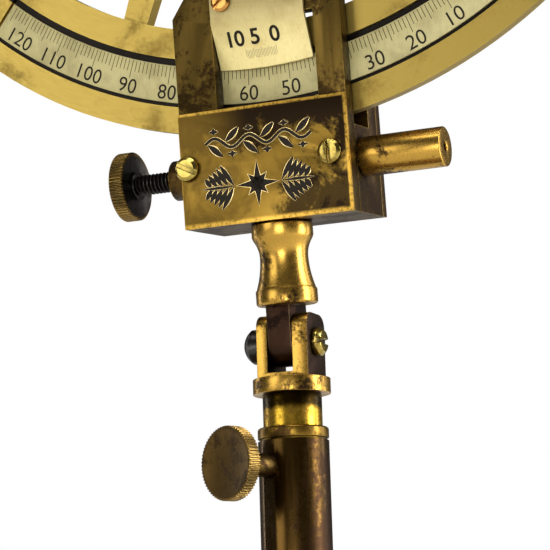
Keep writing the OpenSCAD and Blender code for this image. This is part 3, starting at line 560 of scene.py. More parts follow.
@cache
def finishes():
    """What makes each finish."""
    hue = colours()
    brass, bronze, patina = tuple(hue.brass), tuple(hue.bronze), tuple(hue.patina)
    strip, casting = scale_radii(), groove_radii()
    collar_top = local_box("column_collar", Matrix.Identity(4))[1].z
    vernier_low, vernier_high = local_box("vernier_plate", HEAD)
    return {
        "limb": partial(limb_metal, "limb_brass", tuple(hue.limb), (0.20, 0.13, 0.028),
                        ((casting[0], strip[0]), (strip[1], casting[1]))),
        "aged_brass": partial(aged_metal, "aged_brass", brass, patina, 0.30, 60.0, 0.27),
        "tube": partial(aged_metal, "lacquered_tube_brass", (0.62, 0.42, 0.09), (0.30, 0.18, 0.035),
                        0.25, 45.0, 0.26),
        "antique": partial(aged_metal, "antique_bronze", bronze, patina, 0.60, 48.0, 0.35, 0.8,
                           worn=(0.50, 0.32, 0.07)),
        "arm": partial(aged_metal, "arm_bronze", (0.115, 0.072, 0.016), (0.040, 0.023, 0.007),
                       0.5, 65.0, 0.36, 0.9, matrix=HEAD, brushed=(1.0, 1.0, 0.1),
                       worn=(0.46, 0.29, 0.06), fade=(0, 9 * MM, -9 * MM, 0.55)),
        "column": partial(aged_metal, "column_bronze", (0.085, 0.046, 0.011), (0.036, 0.018, 0.008),
                          0.55, 38.0, 0.25, 0.3, brushed=(1.0, 1.0, 0.15)),
        "rod": partial(aged_metal, "rod_brass", (0.60, 0.36, 0.034), (0.20, 0.11, 0.016),
                       0.35, 60.0, 0.26, 0.4,
                       fade=(2, collar_top + 4.2 * MM, collar_top + 6.2 * MM, 0.07)),
        "collar": partial(aged_metal, "collar_bronze", (0.20, 0.115, 0.018), (0.06, 0.032, 0.010),
                          0.4, 90.0, 0.32, 0.7),
        "knob": partial(aged_metal, "knob_bronze", (0.15, 0.088, 0.024), (0.050, 0.028, 0.010),
                        0.5, 80.0, 0.36, 0.9, worn=(0.30, 0.20, 0.055)),
        "blackened": partial(aged_metal, "blackened_steel", (0.045, 0.040, 0.036), (0.016, 0.014, 0.013),
                             0.5, 120.0, 0.30, 0.5, worn=(0.14, 0.12, 0.10)),
        "tongue": partial(aged_metal, "tongue_bronze", (0.034, 0.017, 0.010), (0.016, 0.009, 0.006),
                          0.5, 90.0, 0.40, 0.6, worn=(0.30, 0.20, 0.09)),
        "polished_brass": partial(polished_metal, "polished_brass", (0.44, 0.335, 0.08), (0.24, 0.16, 0.035)),
        "copper": partial(polished_metal, "coppered_screw", (0.55, 0.27, 0.07), (0.26, 0.11, 0.03)),
        "steel": partial(polished_metal, "bright_steel", (0.62, 0.61, 0.58), (0.40, 0.39, 0.36)),
        "halo": partial(polished_metal, "engraving_edge", (0.78, 0.60, 0.26), (0.55, 0.38, 0.12)),
        "scale": partial(silvered, "scale_silvering", tuple(hue.silvering), (0.32, 0.275, 0.11), SWING),
        # the vernier's upper part gets a painted shade
        "vernier": partial(silvered, "vernier_silvering", (0.74, 0.62, 0.26), (0.62, 0.49, 0.18), HEAD,
                           (vernier_low.z + 2 * MM, vernier_high.z)),
        "plate": partial(plate_metal, "plate_brass", (0.225, 0.135, 0.022), (0.020, 0.012, 0.006),
                         *local_box("name_plate", HEAD)),
        "mahogany": partial(turned_wood, "waxed_mahogany", (0.22, 0.075, 0.028), (0.075, 0.022, 0.010)),
        "rosewood": partial(turned_wood, "polished_rosewood", (0.16, 0.055, 0.025), (0.035, 0.012, 0.008),
                            (0.35, 1.0, 0.10)),
        "felt": partial(felt, "green_felt", (0.06, 0.15, 0.08)),
        "mirror": partial(mirror_silver, "mirror_silver"),
        "lens": partial(tinted_glass, "lens_glass", (0.92, 0.97, 0.98), 1.0),
        "red": partial(tinted_glass, "red_glass", (0.62, 0.06, 0.03), 0.85),
        "green": partial(tinted_glass, "green_glass", (0.06, 0.36, 0.14), 0.85),
        "blue": partial(tinted_glass, "blue_glass", (0.05, 0.09, 0.30), 0.85),
        "ink": partial(dark_fill, "engraving_fill", (0.018, 0.014, 0.010)),
        "faint_ink": partial(dark_fill, "vernier_fill", (0.16, 0.13, 0.07)),
    }


def arc_radii(node):
    """Smallest and largest distance of a node's corners from the apex axis."""
    inverse = SWING.inverted()
    radii = []
    for vertex in frame["nodes"][node].data.vertices:
        point = inverse @ vertex.co
        radii.append(math.hypot(point.x, point.z))
    return min(radii), max(radii)


def scale_radii():
    return arc_radii("scale_strip")


GROOVE_INSIDE = 2.1 * MM   # width of the groove between the limb's inner band and the scale
GROOVE_OUTSIDE = 1.2 * MM  # width of the groove between the scale and the limb's outer band


def groove_radii():
    low, high = scale_radii()
    return low - GROOVE_INSIDE, high + GROOVE_OUTSIDE


# ---------- pieces ----------

class SEXTANT_OT_stand(bpy.types.Operator):
    """Finishes the wooden base, its flange, the column and its clamp"""

    bl_idname = "sextant.stand"
    bl_label = "Stand"

    def execute(self, context):
        softened("base_felt", 0.3, material("felt"))
        softened("base_wood", 0.5, material("mahogany"), 3)
        softened("base_flange", 0.3, material("aged_brass"))
        softened("flange_screws", 0.2, material("polished_brass"))
        softened("column_tube", 0.3, material("column"))
        softened("column_collar", 0.25, material("collar"))
        softened("clamp_boss", 0.25, material("antique"))
        return {"FINISHED"}


class SEXTANT_OT_post(bpy.types.Operator):
    """Finishes the sliding post, the fork and the tongue of the tilt knuckle"""

    bl_idname = "sextant.post"
    bl_label = "Post and tilt knuckle"

    def execute(self, context):
        softened("guide_bush", 0.2, material("aged_brass"))
        softened("post_rod", 0.3, material("rod"))
        softened("rod_end_nut", 0.3, material("aged_brass"))
        fork = softened("tilt_fork", 0.35, material("aged_brass"), 3)
        fork.data.materials.append(material("tongue"))
        cheek_foot = PIVOT.z - 10.4 * MM
        for polygon in fork.data.polygons:
            if polygon.center.z > cheek_foot and abs(polygon.normal.x) > 0.8:
                polygon.material_index = 1
        softened("tilt_bolt", 0.25, material("polished_brass"))
        softened("tilt_nut", 0.3, material("blackened"))
        softened("tilt_tongue", 0.3, material("tongue"))
        softened("neck", 0.3, material("aged_brass"), 3)
        return {"FINISHED"}


class SEXTANT_OT_head(bpy.types.Operator):
    """Finishes the clamp block, the index arm, the name plate and the vernier plate"""

    bl_idname = "sextant.head"
    bl_label = "Block, arm and plates"

    def execute(self, context):
        width = sizes().edge_round
        softened("block_core", width, material("antique"))
        softened("back_plate", width, material("antique"))
        softened("back_plate_screws", 0.25, material("polished_brass"))
        softened("index_arm", width, material("arm"))
        softened("name_plate", 0.22, material("plate"))
        softened("name_plate_screws", 0.3, material("polished_brass"), 3)
        softened("vernier_plate", 0.12, material("vernier"))
        softened("vernier_screws", 0.2, material("copper"), 3)
        softened("spring_barrel", 0.35, material("aged_brass"), 3)
        softened("pivot_spindle", 0.2, material("steel"))
        softened("spindle_nut", 0.3, material("aged_brass"))
        softened("clamp_slider", 0.2, material("aged_brass"))
        softened("spring_plunger", 0.2, material("steel"))
        frame["nodes"]["barrel_spring"].data.materials.clear()
        frame["nodes"]["barrel_spring"].data.materials.append(material("steel"))
        return {"FINISHED"}


class SEXTANT_OT_limb(bpy.types.Operator):
    """Finishes the frame casting and the silvered strip let into the limb"""

    bl_idname = "sextant.limb"
    bl_label = "Frame and limb"

    def execute(self, context):
        softened("frame_casting", sizes().edge_round, material("limb"))
        softened("scale_strip", 0.06, material("scale"))
        return {"FINISHED"}


def bar_on_face(length, width, height):
    """One graduation line, lying along local Z from 0 to length, raised by height towards -Y."""
    bpy.ops.mesh.primitive_cube_add(size=1, location=(0, 0, length / 2))
    line = bpy.context.object
    line.scale = (width, height, length)
    bpy.ops.object.transform_apply(location=True, scale=True, rotation=False)
    edit_all(line)
    bpy.ops.mesh.select_all(action="DESELECT")
    leave_edit()
    for edge in line.data.edges:
        ends = [line.data.vertices[i].co for i in edge.vertices]
        edge.select = all(end.y < 0 for end in ends) and abs(ends[0].z - ends[1].z) > length / 2
    bpy.ops.object.mode_set(mode="EDIT")
    bpy.ops.mesh.bevel(offset=width * 0.25, segments=1)
    leave_edit()
    return line


def copies(original, matrices):
    """Copies of one piece, each with its own mesh at its place; the original goes."""
    made = []
    for matrix in matrices:
        copy = original.copy()
        copy.data = original.data.copy()
        bpy.context.scene.collection.objects.link(copy)
        move_mesh(copy, matrix)
        made.append(copy)
    bpy.data.objects.remove(original)
    return made


def figure(text, height, thickness, bold=0.0):
    """A figure centred on the origin, upright along Z and facing -Y, as a mesh."""
    deselect()
    bpy.ops.object.text_add(location=(0, 0, 0))
    letters = bpy.context.object
    letters.data.body = text
    letters.data.size = height * 1.42
    letters.data.align_x = "CENTER"
    letters.data.align_y = "CENTER"
    letters.data.extrude = thickness / 2
    letters.data.offset = bold * height
    letters.data.space_character = 1.02 - 3 * bold
    letters.data.resolution_u = 6
    bpy.ops.object.convert(target="MESH")
    letters = bpy.context.object
    edit_all(letters)
    bpy.ops.mesh.remove_doubles(threshold=0.001 * MM)
    leave_edit()
    co = [vertex.co.copy() for vertex in letters.data.vertices]
    middle = Vector([(min(c[i] for c in co) + max(c[i] for c in co)) / 2 for i in range(3)])
    move_mesh(letters, Matrix.Rotation(math.pi / 2, 4, "X") @ Matrix.Translation(-middle))
    return letters


class SEXTANT_OT_graduations(bpy.types.Operator):
    """Engraves the scale's lines, one to a unit, and its figures, one to every tenth line"""

    bl_idname = "sextant.graduations"
    bl_label = "Scale graduations"

    unit_angle = math.radians(0.57)
    middle_reading = 60
    first, last = -5, 125
    line_inset = 0.25 * MM
    figure_inset = 0.8 * MM
    line_height, figure_thickness = 0.05 * MM, 0.06 * MM

    def line_length(self, reading):
        if reading % 10 == 0:
            return 5.6 * MM
        if reading % 5 == 0:
            return 4.9 * MM
        return 3.5 * MM

    def execute(self, context):
        inner, outer = scale_radii()
        face = local_box("scale_strip", SWING)[0].y
        lines = {}
        for reading in range(self.first, self.last + 1):
            angle = -(self.middle_reading - reading) * self.unit_angle
            turn = Matrix.Rotation(angle, 4, "Y")
            down = Matrix.Rotation(math.pi, 4, "Y")
            place = SWING @ turn @ Matrix.Translation((0, face, -inner - self.line_inset)) @ down
            lines.setdefault(self.line_length(reading), []).append(place)
        pieces = []
        for length, places in lines.items():
            deselect()
            bar = bar_on_face(length, sizes().line_width, self.line_height)
            pieces += copies(bar, places)
        figure_radius = outer - self.figure_inset - sizes().figure_height / 2
        for reading in range(0, self.last + 1, 10):
            angle = -(self.middle_reading - reading) * self.unit_angle
            number = figure(str(reading), sizes().figure_height, self.figure_thickness)
            turn = Matrix.Rotation(angle, 4, "Y")
            move_mesh(number, SWING @ turn @ Matrix.Translation((0, face, -figure_radius)))
            pieces.append(number)
        whole = join("scale_graduations", pieces)
        finish(whole, "frame", SLOT_OF["scale_strip"], material("ink"))
        return {"FINISHED"}


def facing_area(node, matrix, direction):
    """Centre of the flat faces of a node that look along a local direction, and their mean normal."""
    inverse = matrix.inverted()
    turn = inverse.to_3x3()
    centre, normal, total = Vector(), Vector(), 0.0
    for polygon in frame["nodes"][node].data.polygons:
        look = (turn @ polygon.normal).normalized()
        if look.dot(direction) > 0.97:
            centre += (inverse @ polygon.center) * polygon.area
            normal += look * polygon.area
            total += polygon.area
    return centre / total, normal.normalized()


class SEXTANT_OT_vernier(bpy.types.Operator):
    """Engraves the vernier's figures and its faint lines on the sloping plate"""

    bl_idname = "sextant.vernier"
    bl_label = "Vernier graduations"

    figures = (("10", -6.8 * MM), ("5", -0.8 * MM), ("0", 5.6 * MM))
    figure_level = 1.4 * MM
    divisions = 20
    left, right = -4.6 * MM, 5.2 * MM
    line_foot, line_length = -5.1 * MM, 2.6 * MM

    def execute(self, context):
        slope = Vector((0, -1, -0.42)).normalized()
        centre, normal = facing_area("vernier_plate", HEAD, slope)
        level = HEAD @ placing(Vector((0, centre.y, centre.z)), Vector((1, 0, 0)), -normal)
        pieces = []
        for text, across in self.figures:
            number = figure(text, sizes().vernier_figure_height, 0.08 * MM, 0.03)
            move_mesh(number, level @ Matrix.Translation((across, 0, self.figure_level)))
            pieces.append(number)
        whole = join("vernier_figures", pieces)
        finish(whole, "arm", SLOT_OF["vernier_plate"], material("ink"))
        deselect()
        places = []
        for i in range(self.divisions + 1):
            across = self.left + (self.right - self.left) * i / self.divisions
            raised = 0.5 * MM if i % 5 == 0 else 0.0
            places.append(level @ Matrix.Translation((across, 0, self.line_foot + raised)))
        line = bar_on_face(self.line_length, sizes().line_width * 0.6, 0.04 * MM)
        lines = join("vernier_lines", copies(line, places))
        finish(lines, "arm", SLOT_OF["vernier_plate"], material("faint_ink"))
        return {"FINISHED"}


# ---------- engraved ornament ----------

def stroke(points, widths, height):
    """A flat tapering stroke through points (x, z) with half widths, raised by height towards -Y."""
    deselect()
    bpy.ops.curve.primitive_nurbs_path_add(location=(0, 0, 0))
    path = bpy.context.object
    path.data.splines.clear()
    spline = path.data.splines.new("NURBS")
    spline.points.add(len(points) - 1)
    for point, (x, z), width in zip(spline.points, points, widths):
        point.co = (x, 0.0, z, 1.0)
        point.radius = width
    spline.order_u = 4
    spline.use_endpoint_u = True
    path.data.resolution_u = 4
    path.data.bevel_depth = 1.0
    path.data.bevel_resolution = 2
    path.data.use_fill_caps = True
    bpy.ops.object.convert(target="MESH")
    piece = bpy.context.object
    widest = max(widths)
    move_mesh(piece, Matrix.Diagonal((1.0, height / widest, 1.0, 1.0)))
    return piece


def leaf(start, end, thick, height):
    """A straight stroke that swells in the middle and ends in points."""
    steps = (0.0, 0.25, 0.5, 0.75, 1.0)
    swell = (0.15, 0.8, 1.0, 0.8, 0.15)
    points = [(start[0] + (end[0] - start[0]) * t, start[1] + (end[1] - start[1]) * t) for t in steps]
    return stroke(points, [thick * s for s in swell], height)


def star(radius, waist, points, at, height):
    """A flat star with the given number of points."""
    deselect()
    bpy.ops.mesh.primitive_circle_add(vertices=points * 2, radius=radius, fill_type="TRIFAN",
                                      rotation=(math.pi / 2, 0, 0))
    piece = bpy.context.object
    bpy.ops.object.transform_apply(location=False, rotation=True, scale=False)
    edit_all(piece)
    bpy.ops.mesh.select_all(action="DESELECT")
    leave_edit()
    rim = [v for v in piece.data.vertices if v.co.length > radius / 2]
    rim.sort(key=lambda v: math.atan2(v.co.z, v.co.x))
    for vertex in rim[::2]:
        vertex.select = True
    bpy.ops.object.mode_set(mode="EDIT")
    bpy.ops.transform.resize(value=(waist / radius,) * 3, center_override=(0, 0, 0))
    bpy.ops.mesh.select_all(action="SELECT")
    bpy.ops.mesh.extrude_region_move(TRANSFORM_OT_translate={"value": (0, height, 0)})
    bpy.ops.mesh.select_all(action="SELECT")
    bpy.ops.mesh.normals_make_consistent(inside=False)
    leave_edit()
    move_mesh(piece, Matrix.Translation((at[0], -height / 2, at[1])))
    return piece


def vine(left, right, level, waves, thick, height):
    """A wavy stem with a broad leaf and a bud in every bend."""
    swing = 1.7 * MM
    halves = waves * 2
    step = (right - left) / halves
    count = halves * 4
    points = []
    for i in range(count + 1):
        points.append((left + (right - left) * i / count, level + swing * math.sin(math.pi * i / 4)))
    pieces = [stroke(points, [thick * 0.75] * len(points), height)]
    for i in range(halves):
        side = 1 if i % 2 == 0 else -1
        root = (left + step * (i + 0.15), level - side * 0.2 * MM)
        tip = (left + step * (i + 0.95), level - side * 4.2 * MM)
        pieces.append(leaf(root, tip, thick * 1.7, height))
        bud, middle = left + step * (i + 0.5), level + side * 3.5 * MM
        inner, outer = level + side * 2.6 * MM, level + side * 4.6 * MM
        pieces.append(leaf((bud, inner), (bud, outer), thick * 1.2, height))
        pieces.append(leaf((bud - step * 0.3, middle), (bud + step * 0.3, middle), thick * 0.8, height))
    return pieces


def branch(x, z, reach, side, thick, height):
    """A stem that runs sideways with pairs of leaves getting smaller towards its tip."""
    pieces = [leaf((x, z), (x + side * reach, z), thick * 0.8, height)]
    for i in range(5):
        root = x + side * reach * (0.02 + 0.17 * i)
        length = 7.4 * MM * (1 - 0.13 * i)
        for up in (-1, 1):
            tip = (root + side * length * 0.55, z + up * length * 0.9)
            pieces.append(leaf((root, z + up * 0.3 * MM), tip, thick * 1.45, height))
    return pieces


def ornament(extra, height):
    """The plate's two rows of ornament; extra widens every stroke, for the bright edge under the fill."""
    thick = 0.74 * MM + extra
    upper, lower, centre = 60.9 * MM, 47.6 * MM, -2.4 * MM
    pieces = vine(-18.4 * MM, 15.6 * MM, upper, 3, thick, height)
    for side in (-1, 1):
        pieces += branch(centre + side * 7.6 * MM, lower, 10.6 * MM, side, thick, height)
    pieces.append(star(6.9 * MM + extra, 1.7 * MM + extra, 4, (centre, lower), height))
    small = star(4.3 * MM + extra, 1.7 * MM + extra, 4, (0.0, 0.0), height)
    move_mesh(small, Matrix.Translation((centre, 0, lower)) @ Matrix.Rotation(math.radians(45), 4, "Y"))
    pieces.append(small)
    return pieces


class SEXTANT_OT_engraving(bpy.types.Operator):
    """Engraves a leafy vine and a compass star between two branches on the plate"""

    bl_idname = "sextant.engraving"
    bl_label = "Plate ornament"

    def execute(self, context):
        face = local_box("name_plate", HEAD)[0].y
        for name, extra, height, key in (("plate_engraving_edge", 0.2 * MM, 0.05 * MM, "halo"),
                                         ("plate_engraving", 0.0, 0.09 * MM, "ink")):
            whole = join(name, ornament(extra, height))
            move_mesh(whole, HEAD @ Matrix.Translation((0, face, 0)))
            finish(whole, "arm", SLOT_OF["name_plate"], material(key))
        return {"FINISHED"}


# ---------- tangent screw and clamp knobs ----------

def knurled_knob(radius, thickness, knurls):
    """A knob along +Z from 0 to thickness: straight knurls, turned edges and a shallow dish on top."""
    corners = 4            # corners of the rim to one knurl, two of them in its flute
    flute_floor = 0.965    # radius at the floor of a flute, as a share of the knob's
    rim_start, rim_share = 0.06, 0.88
    deselect()
    bpy.ops.mesh.primitive_cylinder_add(vertices=knurls * corners, radius=radius, depth=thickness,
                                        location=(0, 0, thickness / 2))
    knob = bpy.context.object
    bpy.ops.object.transform_apply(location=True, rotation=False, scale=False)
    edit_all(knob)
    bpy.ops.mesh.select_all(action="DESELECT")
    bpy.ops.mesh.select_mode(type="FACE")
    leave_edit()
    for polygon in knob.data.polygons:
        polygon.select = abs(polygon.normal.z) > 0.9
    bpy.ops.object.mode_set(mode="EDIT")
    bpy.ops.mesh.inset(thickness=radius * 0.05, depth=0.0)
    bpy.ops.mesh.inset(thickness=radius * 0.06, depth=0.0)
    bpy.ops.mesh.inset(thickness=radius * 0.05, depth=-thickness * 0.05)
    leave_edit()
    rim = [v for v in knob.data.vertices if math.hypot(v.co.x, v.co.y) > radius * 0.99]
    for vertex in rim:
        vertex.co.z = rim_start * thickness + vertex.co.z * rim_share
    for vertex in rim:
        step = round(math.atan2(vertex.co.y, vertex.co.x) / (2 * math.pi) * knurls * corners) % corners
        if step in (1, 2):
            vertex.co.x *= flute_floor
            vertex.co.y *= flute_floor
    knob.data.update()
    return knob


def rod(radius, start, length, vertices=48):
    deselect()
    bpy.ops.mesh.primitive_cylinder_add(vertices=vertices, radius=radius, depth=length,
                                        location=(0, 0, start + length / 2))
    piece = bpy.context.object
    bpy.ops.object.transform_apply(location=True, rotation=False, scale=False)
    apply_modifier(piece, "BEVEL", width=min(radius, length) * 0.08, segments=2, limit_method="ANGLE")
    return piece


def threaded_rod(radius, start, length, pitch):
    """A thread along +Z from start: one turn of its profile, screwed on, with closed ends."""
    depth = 0.55 * pitch
    flank, crest = 0.42 * pitch, 0.16 * pitch
    deselect()
    bpy.ops.mesh.primitive_plane_add(size=1)
    thread = bpy.context.object
    edit_all(thread)
    bpy.ops.mesh.select_mode(type="VERT")
    bpy.ops.mesh.select_all(action="SELECT")
    bpy.ops.mesh.merge(type="CENTER")
    bpy.ops.transform.translate(value=(radius - depth, 0, start))
    for step in ((depth, 0, flank), (0, 0, crest), (-depth, 0, flank)):
        bpy.ops.mesh.extrude_region_move(TRANSFORM_OT_translate={"value": step})
    leave_edit()
    turns = int(length / pitch)
    apply_modifier(thread, "SCREW", axis="Z", angle=2 * math.pi, screw_offset=pitch, iterations=turns,
                   steps=28, render_steps=28, use_merge_vertices=True, merge_threshold=0.002 * MM)
    edit_all(thread)
    bpy.ops.mesh.remove_doubles(threshold=0.002 * MM)
    bpy.ops.mesh.select_all(action="DESELECT")
    bpy.ops.mesh.select_mode(type="EDGE")
    bpy.ops.mesh.select_non_manifold(extend=False, use_wire=False, use_multi_face=False,
                                     use_non_contiguous=False, use_verts=False)
    bpy.ops.mesh.fill()
    bpy.ops.mesh.select_all(action="SELECT")
    bpy.ops.mesh.normals_make_consistent(inside=False)
    leave_edit()
    return thread


def clamp_screw(node, body, place, thickness, thread_radius, pitch, collared=False):
    """A clamp screw along local Z with its knob at the upper end, in place of a CAD node."""
    collar_radius, collar_reach, collar_length = 3.4 * MM, 5.2 * MM, 5.6 * MM
    low, high = local_box(node, place)
    under = high.z - thickness
    knob = knurled_knob(high.x, thickness, sizes().knurls)
    move_mesh(knob, Matrix.Translation((0, 0, under)))
    parts = [knob]
    if collared:
        parts.append(rod(collar_radius, under - collar_reach, collar_length))
    parts.append(threaded_rod(thread_radius, low.z, under - low.z, pitch))
    whole = join(node + ".finish", parts)
    smooth(whole, 32)
    move_mesh(whole, place)
    return finish(whole, body, SLOT_OF[node], material("knob"), node)


class SEXTANT_OT_screws(bpy.types.Operator):
    """Models the tangent screw with its thread and knurled knob, and the two clamp screws"""

    bl_idname = "sextant.screws"
    bl_label = "Tangent and clamp screws"

    def execute(self, context):
        outward = Matrix.Rotation(-math.pi / 2, 4, "Y")
        low, high = local_box("tangent_screw", SCREW)
        share_of_plunger = 0.756  # the thread's radius as a share of the spring plunger's
        thread_radius = local_box("spring_plunger", SCREW)[1].z * share_of_plunger
        knob_radius = high.z
        knob_length = 4.6 * MM
        knob_inner = -low.x - knob_length
        knob = knurled_knob(knob_radius, knob_length, sizes().knurls)
        move_mesh(knob, Matrix.Translation((0, 0, knob_inner)))
        thread = threaded_rod(thread_radius, -high.x, high.x + knob_inner + 1.5 * MM, sizes().thread_pitch)
        collar_radius, collar_reach, collar_length = 4.4 * MM, 0.9 * MM, 1.2 * MM
        collar = rod(collar_radius, knob_inner - collar_reach, collar_length)
        whole = join("tangent_screw.finish", [knob, collar, thread])
        smooth(whole, 32)
        move_mesh(whole, SCREW @ outward)
        finish(whole, "tangent_knob", SLOT_OF["tangent_screw"], material("blackened"), "tangent_screw")
        whole.data.materials.append(material("knob"))
        for polygon in whole.data.polygons:
            point = SCREW.inverted() @ polygon.center
            if point.x < -knob_inner + 0.05 * MM and math.hypot(point.y, point.z) > knob_radius * 0.9:
                polygon.material_index = 1

        axis = joint_axis("column_clamp_turn")
        side = Vector((0, 0, 1)).cross(axis).normalized()
        clamp = placing(joint_point("column_clamp_turn"), side, axis.cross(side).normalized())
        clamp_screw("column_clamp_screw", "column_clamp", clamp, 4.0 * MM, 2.0 * MM, 0.8 * MM, collared=True)

        across = Vector((1, 0, 0))
        clamp = placing(joint_point("limb_clamp_turn"), across, DEPTH.cross(across))
        clamp_screw("limb_clamp_screw", "limb_clamp", clamp, 6.0 * MM, 3.0 * MM, 1.0 * MM)
        return {"FINISHED"}


class SEXTANT_OT_optics(bpy.types.Operator):
    """Finishes the mirrors, the telescope and the shades"""

    bl_idname = "sextant.optics"
    bl_label = "Mirrors, telescope and shades"

    def execute(self, context):
        for node in ("index_mirror_frame", "horizon_mirror_frame"):
            softened(node, 0.25, material("aged_brass"))
        for node in ("index_mirror_glass", "horizon_mirror_glass"):
            softened(node, 0.15, material("mirror"))
        softened("telescope_bracket", 0.3, material("aged_brass"))
        softened("telescope_bracket_nut", 0.1, material("knob"))
        softened("telescope_tube", 0.3, material("tube"))
        softened("objective_cell", 0.3, material("aged_brass"))
        softened("eyepiece_tube", 0.3, material("aged_brass"))
        for node in ("objective_lens", "eyepiece_lens"):
            softened(node, 0.1, material("lens"))
        for node in ("index_shade_bracket", "horizon_shade_bracket"):
            softened(node, 0.25, material("aged_brass"))
        for group, tints in (("index_shade", ("red", "green", "blue")), ("horizon_shade", ("blue", "green"))):
            for number, tint in enumerate(tints, 1):
                softened(f"{group}_{number}", 0.25, material("aged_brass"))
                softened(f"{group}_glass_{number}", 0.08, material(tint))
        return {"FINISHED"}


class SEXTANT_OT_handle(bpy.types.Operator):
    """Finishes the wooden grip behind the frame, its brackets and its screws"""

    bl_idname = "sextant.handle"
    bl_label = "Handle"

    def execute(self, context):
        softened("handle_grip", 0.4, material("rosewood"), 3)
        softened("handle_brackets", 0.3, material("aged_brass"))
        softened("handle_screws", 0.2, material("polished_brass"))
        return {"FINISHED"}


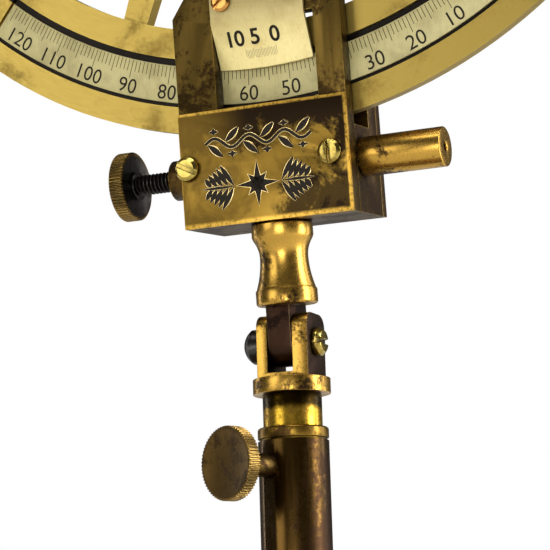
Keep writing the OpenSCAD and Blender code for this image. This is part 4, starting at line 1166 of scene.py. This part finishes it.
class SEXTANT_OT_stage(bpy.types.Operator):
    """Sets the pale floor, the soft lights and the camera"""

    bl_idname = "sextant.stage"
    bl_label = "Stage"

    def softbox(self, name, azimuth, height, distance, width, tall, watts, aim):
        """A soft lamp at an azimuth counted from the front towards +X, facing the aim point."""
        angle = math.radians(azimuth)
        place = Vector((math.sin(angle) * distance, -math.cos(angle) * distance, height))
        deselect()
        bpy.ops.object.light_add(type="AREA", location=place)
        lamp = bpy.context.object
        lamp.name = name
        lamp.data.shape = "RECTANGLE"
        lamp.data.size = width
        lamp.data.size_y = tall
        lamp.data.energy = watts * bpy.context.scene.sextant_stage.light
        lamp.rotation_euler = (aim - place).to_track_quat("-Z", "Y").to_euler()

    def lay_floor(self):
        deselect()
        bpy.ops.mesh.primitive_plane_add(size=6, location=(0, 0, 0))
        floor = bpy.context.object
        floor.name = "floor"
        edit_all(floor)
        bpy.ops.mesh.subdivide(number_cuts=4)
        leave_edit()
        shader = Shader("pale_floor")
        tone = shader.noise(shader.coordinates(), 30.0, 3.0)
        pale = shader.mix(shader.math("MULTIPLY", tone, 0.1), (0.82, 0.82, 0.81), (0.78, 0.78, 0.77))
        floor.data.materials.append(shader.done(Base_Color=pale, Roughness=0.7))

    def light_room(self, scene):
        """A room that is white to look at, dim in reflections and mild where it lights the metal."""
        world = bpy.data.worlds.new("studio")
        scene.world = world
        scene.view_settings.view_transform = "Standard"
        world.use_nodes = True
        tree = world.node_tree
        tree.nodes.clear()
        path = tree.nodes.new("ShaderNodeLightPath")

        def glow(colour, strength):
            background = tree.nodes.new("ShaderNodeBackground")
            background.inputs["Color"].default_value = (*colour, 1)
            background.inputs["Strength"].default_value = strength
            return background.outputs[0]

        def choose(ray, others, own):
            blend = tree.nodes.new("ShaderNodeMixShader")
            for socket, value in zip(blend.inputs, (path.outputs[ray], others, own)):
                tree.links.new(value, socket)
            return blend.outputs[0]

        around = choose("Is Diffuse Ray", glow((0.30, 0.28, 0.25), 0.30), glow((1.0, 0.98, 0.94), 0.42))
        room = choose("Is Camera Ray", around, glow((1, 1, 1), 1.0))
        output = tree.nodes.new("ShaderNodeOutputWorld")
        tree.links.new(room, output.inputs["Surface"])

    def place_camera(self, scene):
        stage = scene.sextant_stage
        bpy.ops.object.camera_add()
        camera = bpy.context.object
        camera.name = "camera"
        camera.data.sensor_width = 36
        camera.data.lens = stage.lens
        ahead = Vector((-math.sin(stage.azimuth) * math.cos(stage.rise),
                        math.cos(stage.azimuth) * math.cos(stage.rise), math.sin(stage.rise)))
        level = Vector((math.cos(stage.azimuth), math.sin(stage.azimuth), 0))
        below = ahead.cross(level)
        right = math.cos(stage.roll) * level + math.sin(stage.roll) * below
        up = math.sin(stage.roll) * level - math.cos(stage.roll) * below
        target = Vector((0, -0.01, stage.aim_height))
        place = target - ahead * stage.distance
        camera.matrix_world = Matrix.Translation(place) @ Matrix((right, up, -ahead)).transposed().to_4x4()
        scene.camera = camera

    def execute(self, context):
        self.lay_floor()
        self.light_room(context.scene)
        aim = Vector((0, 0, 0.22))
        self.softbox("front_left_softbox", -32, 0.42, 1.1, 0.55, 0.55, 2.9, aim)
        self.softbox("front_fill", 12, 0.10, 0.9, 0.40, 0.30, 3.4, aim)
        self.softbox("right_softbox", 103, 0.28, 0.95, 0.36, 1.2, 16.0, aim)
        self.softbox("rear_right_softbox", 134, 0.28, 0.95, 0.20, 1.0, 2.2, aim)
        self.softbox("left_softbox", -100, 0.40, 1.0, 0.16, 1.0, 1.6, aim)
        self.softbox("top_softbox", 15, 1.35, 0.45, 0.8, 0.6, 9.0, aim)
        self.place_camera(context.scene)
        return {"FINISHED"}


class SEXTANT_PT_panel(bpy.types.Panel):
    """Lists the sextant's pieces"""

    bl_label = "Sextant"
    bl_idname = "SEXTANT_PT_panel"
    bl_space_type = "VIEW_3D"
    bl_region_type = "UI"
    bl_category = "Sextant"

    def draw(self, context):
        for operator in OPERATORS:
            self.layout.operator(operator.bl_idname)


OPERATORS = (SEXTANT_OT_stage, SEXTANT_OT_stand, SEXTANT_OT_post, SEXTANT_OT_head, SEXTANT_OT_limb,
             SEXTANT_OT_graduations, SEXTANT_OT_vernier, SEXTANT_OT_engraving, SEXTANT_OT_screws,
             SEXTANT_OT_optics, SEXTANT_OT_handle)
GROUPS = {"sextant_colours": SextantColours, "sextant_sizes": SextantSizes, "sextant_stage": SextantStage}


def register():
    for group in GROUPS.values():
        bpy.utils.register_class(group)
    for operator in OPERATORS:
        bpy.utils.register_class(operator)
    bpy.utils.register_class(SEXTANT_PT_panel)
    for name, group in GROUPS.items():
        setattr(bpy.types.Scene, name, PointerProperty(type=group))


def unregister():
    for name in GROUPS:
        delattr(bpy.types.Scene, name)
    bpy.utils.unregister_class(SEXTANT_PT_panel)
    for operator in reversed(OPERATORS):
        bpy.utils.unregister_class(operator)
    for group in GROUPS.values():
        bpy.utils.unregister_class(group)


def main():
    register()
    for operator in OPERATORS:
        group, name = operator.bl_idname.split(".")
        getattr(getattr(bpy.ops, group), name)()


if __name__ == "__main__":
    main()
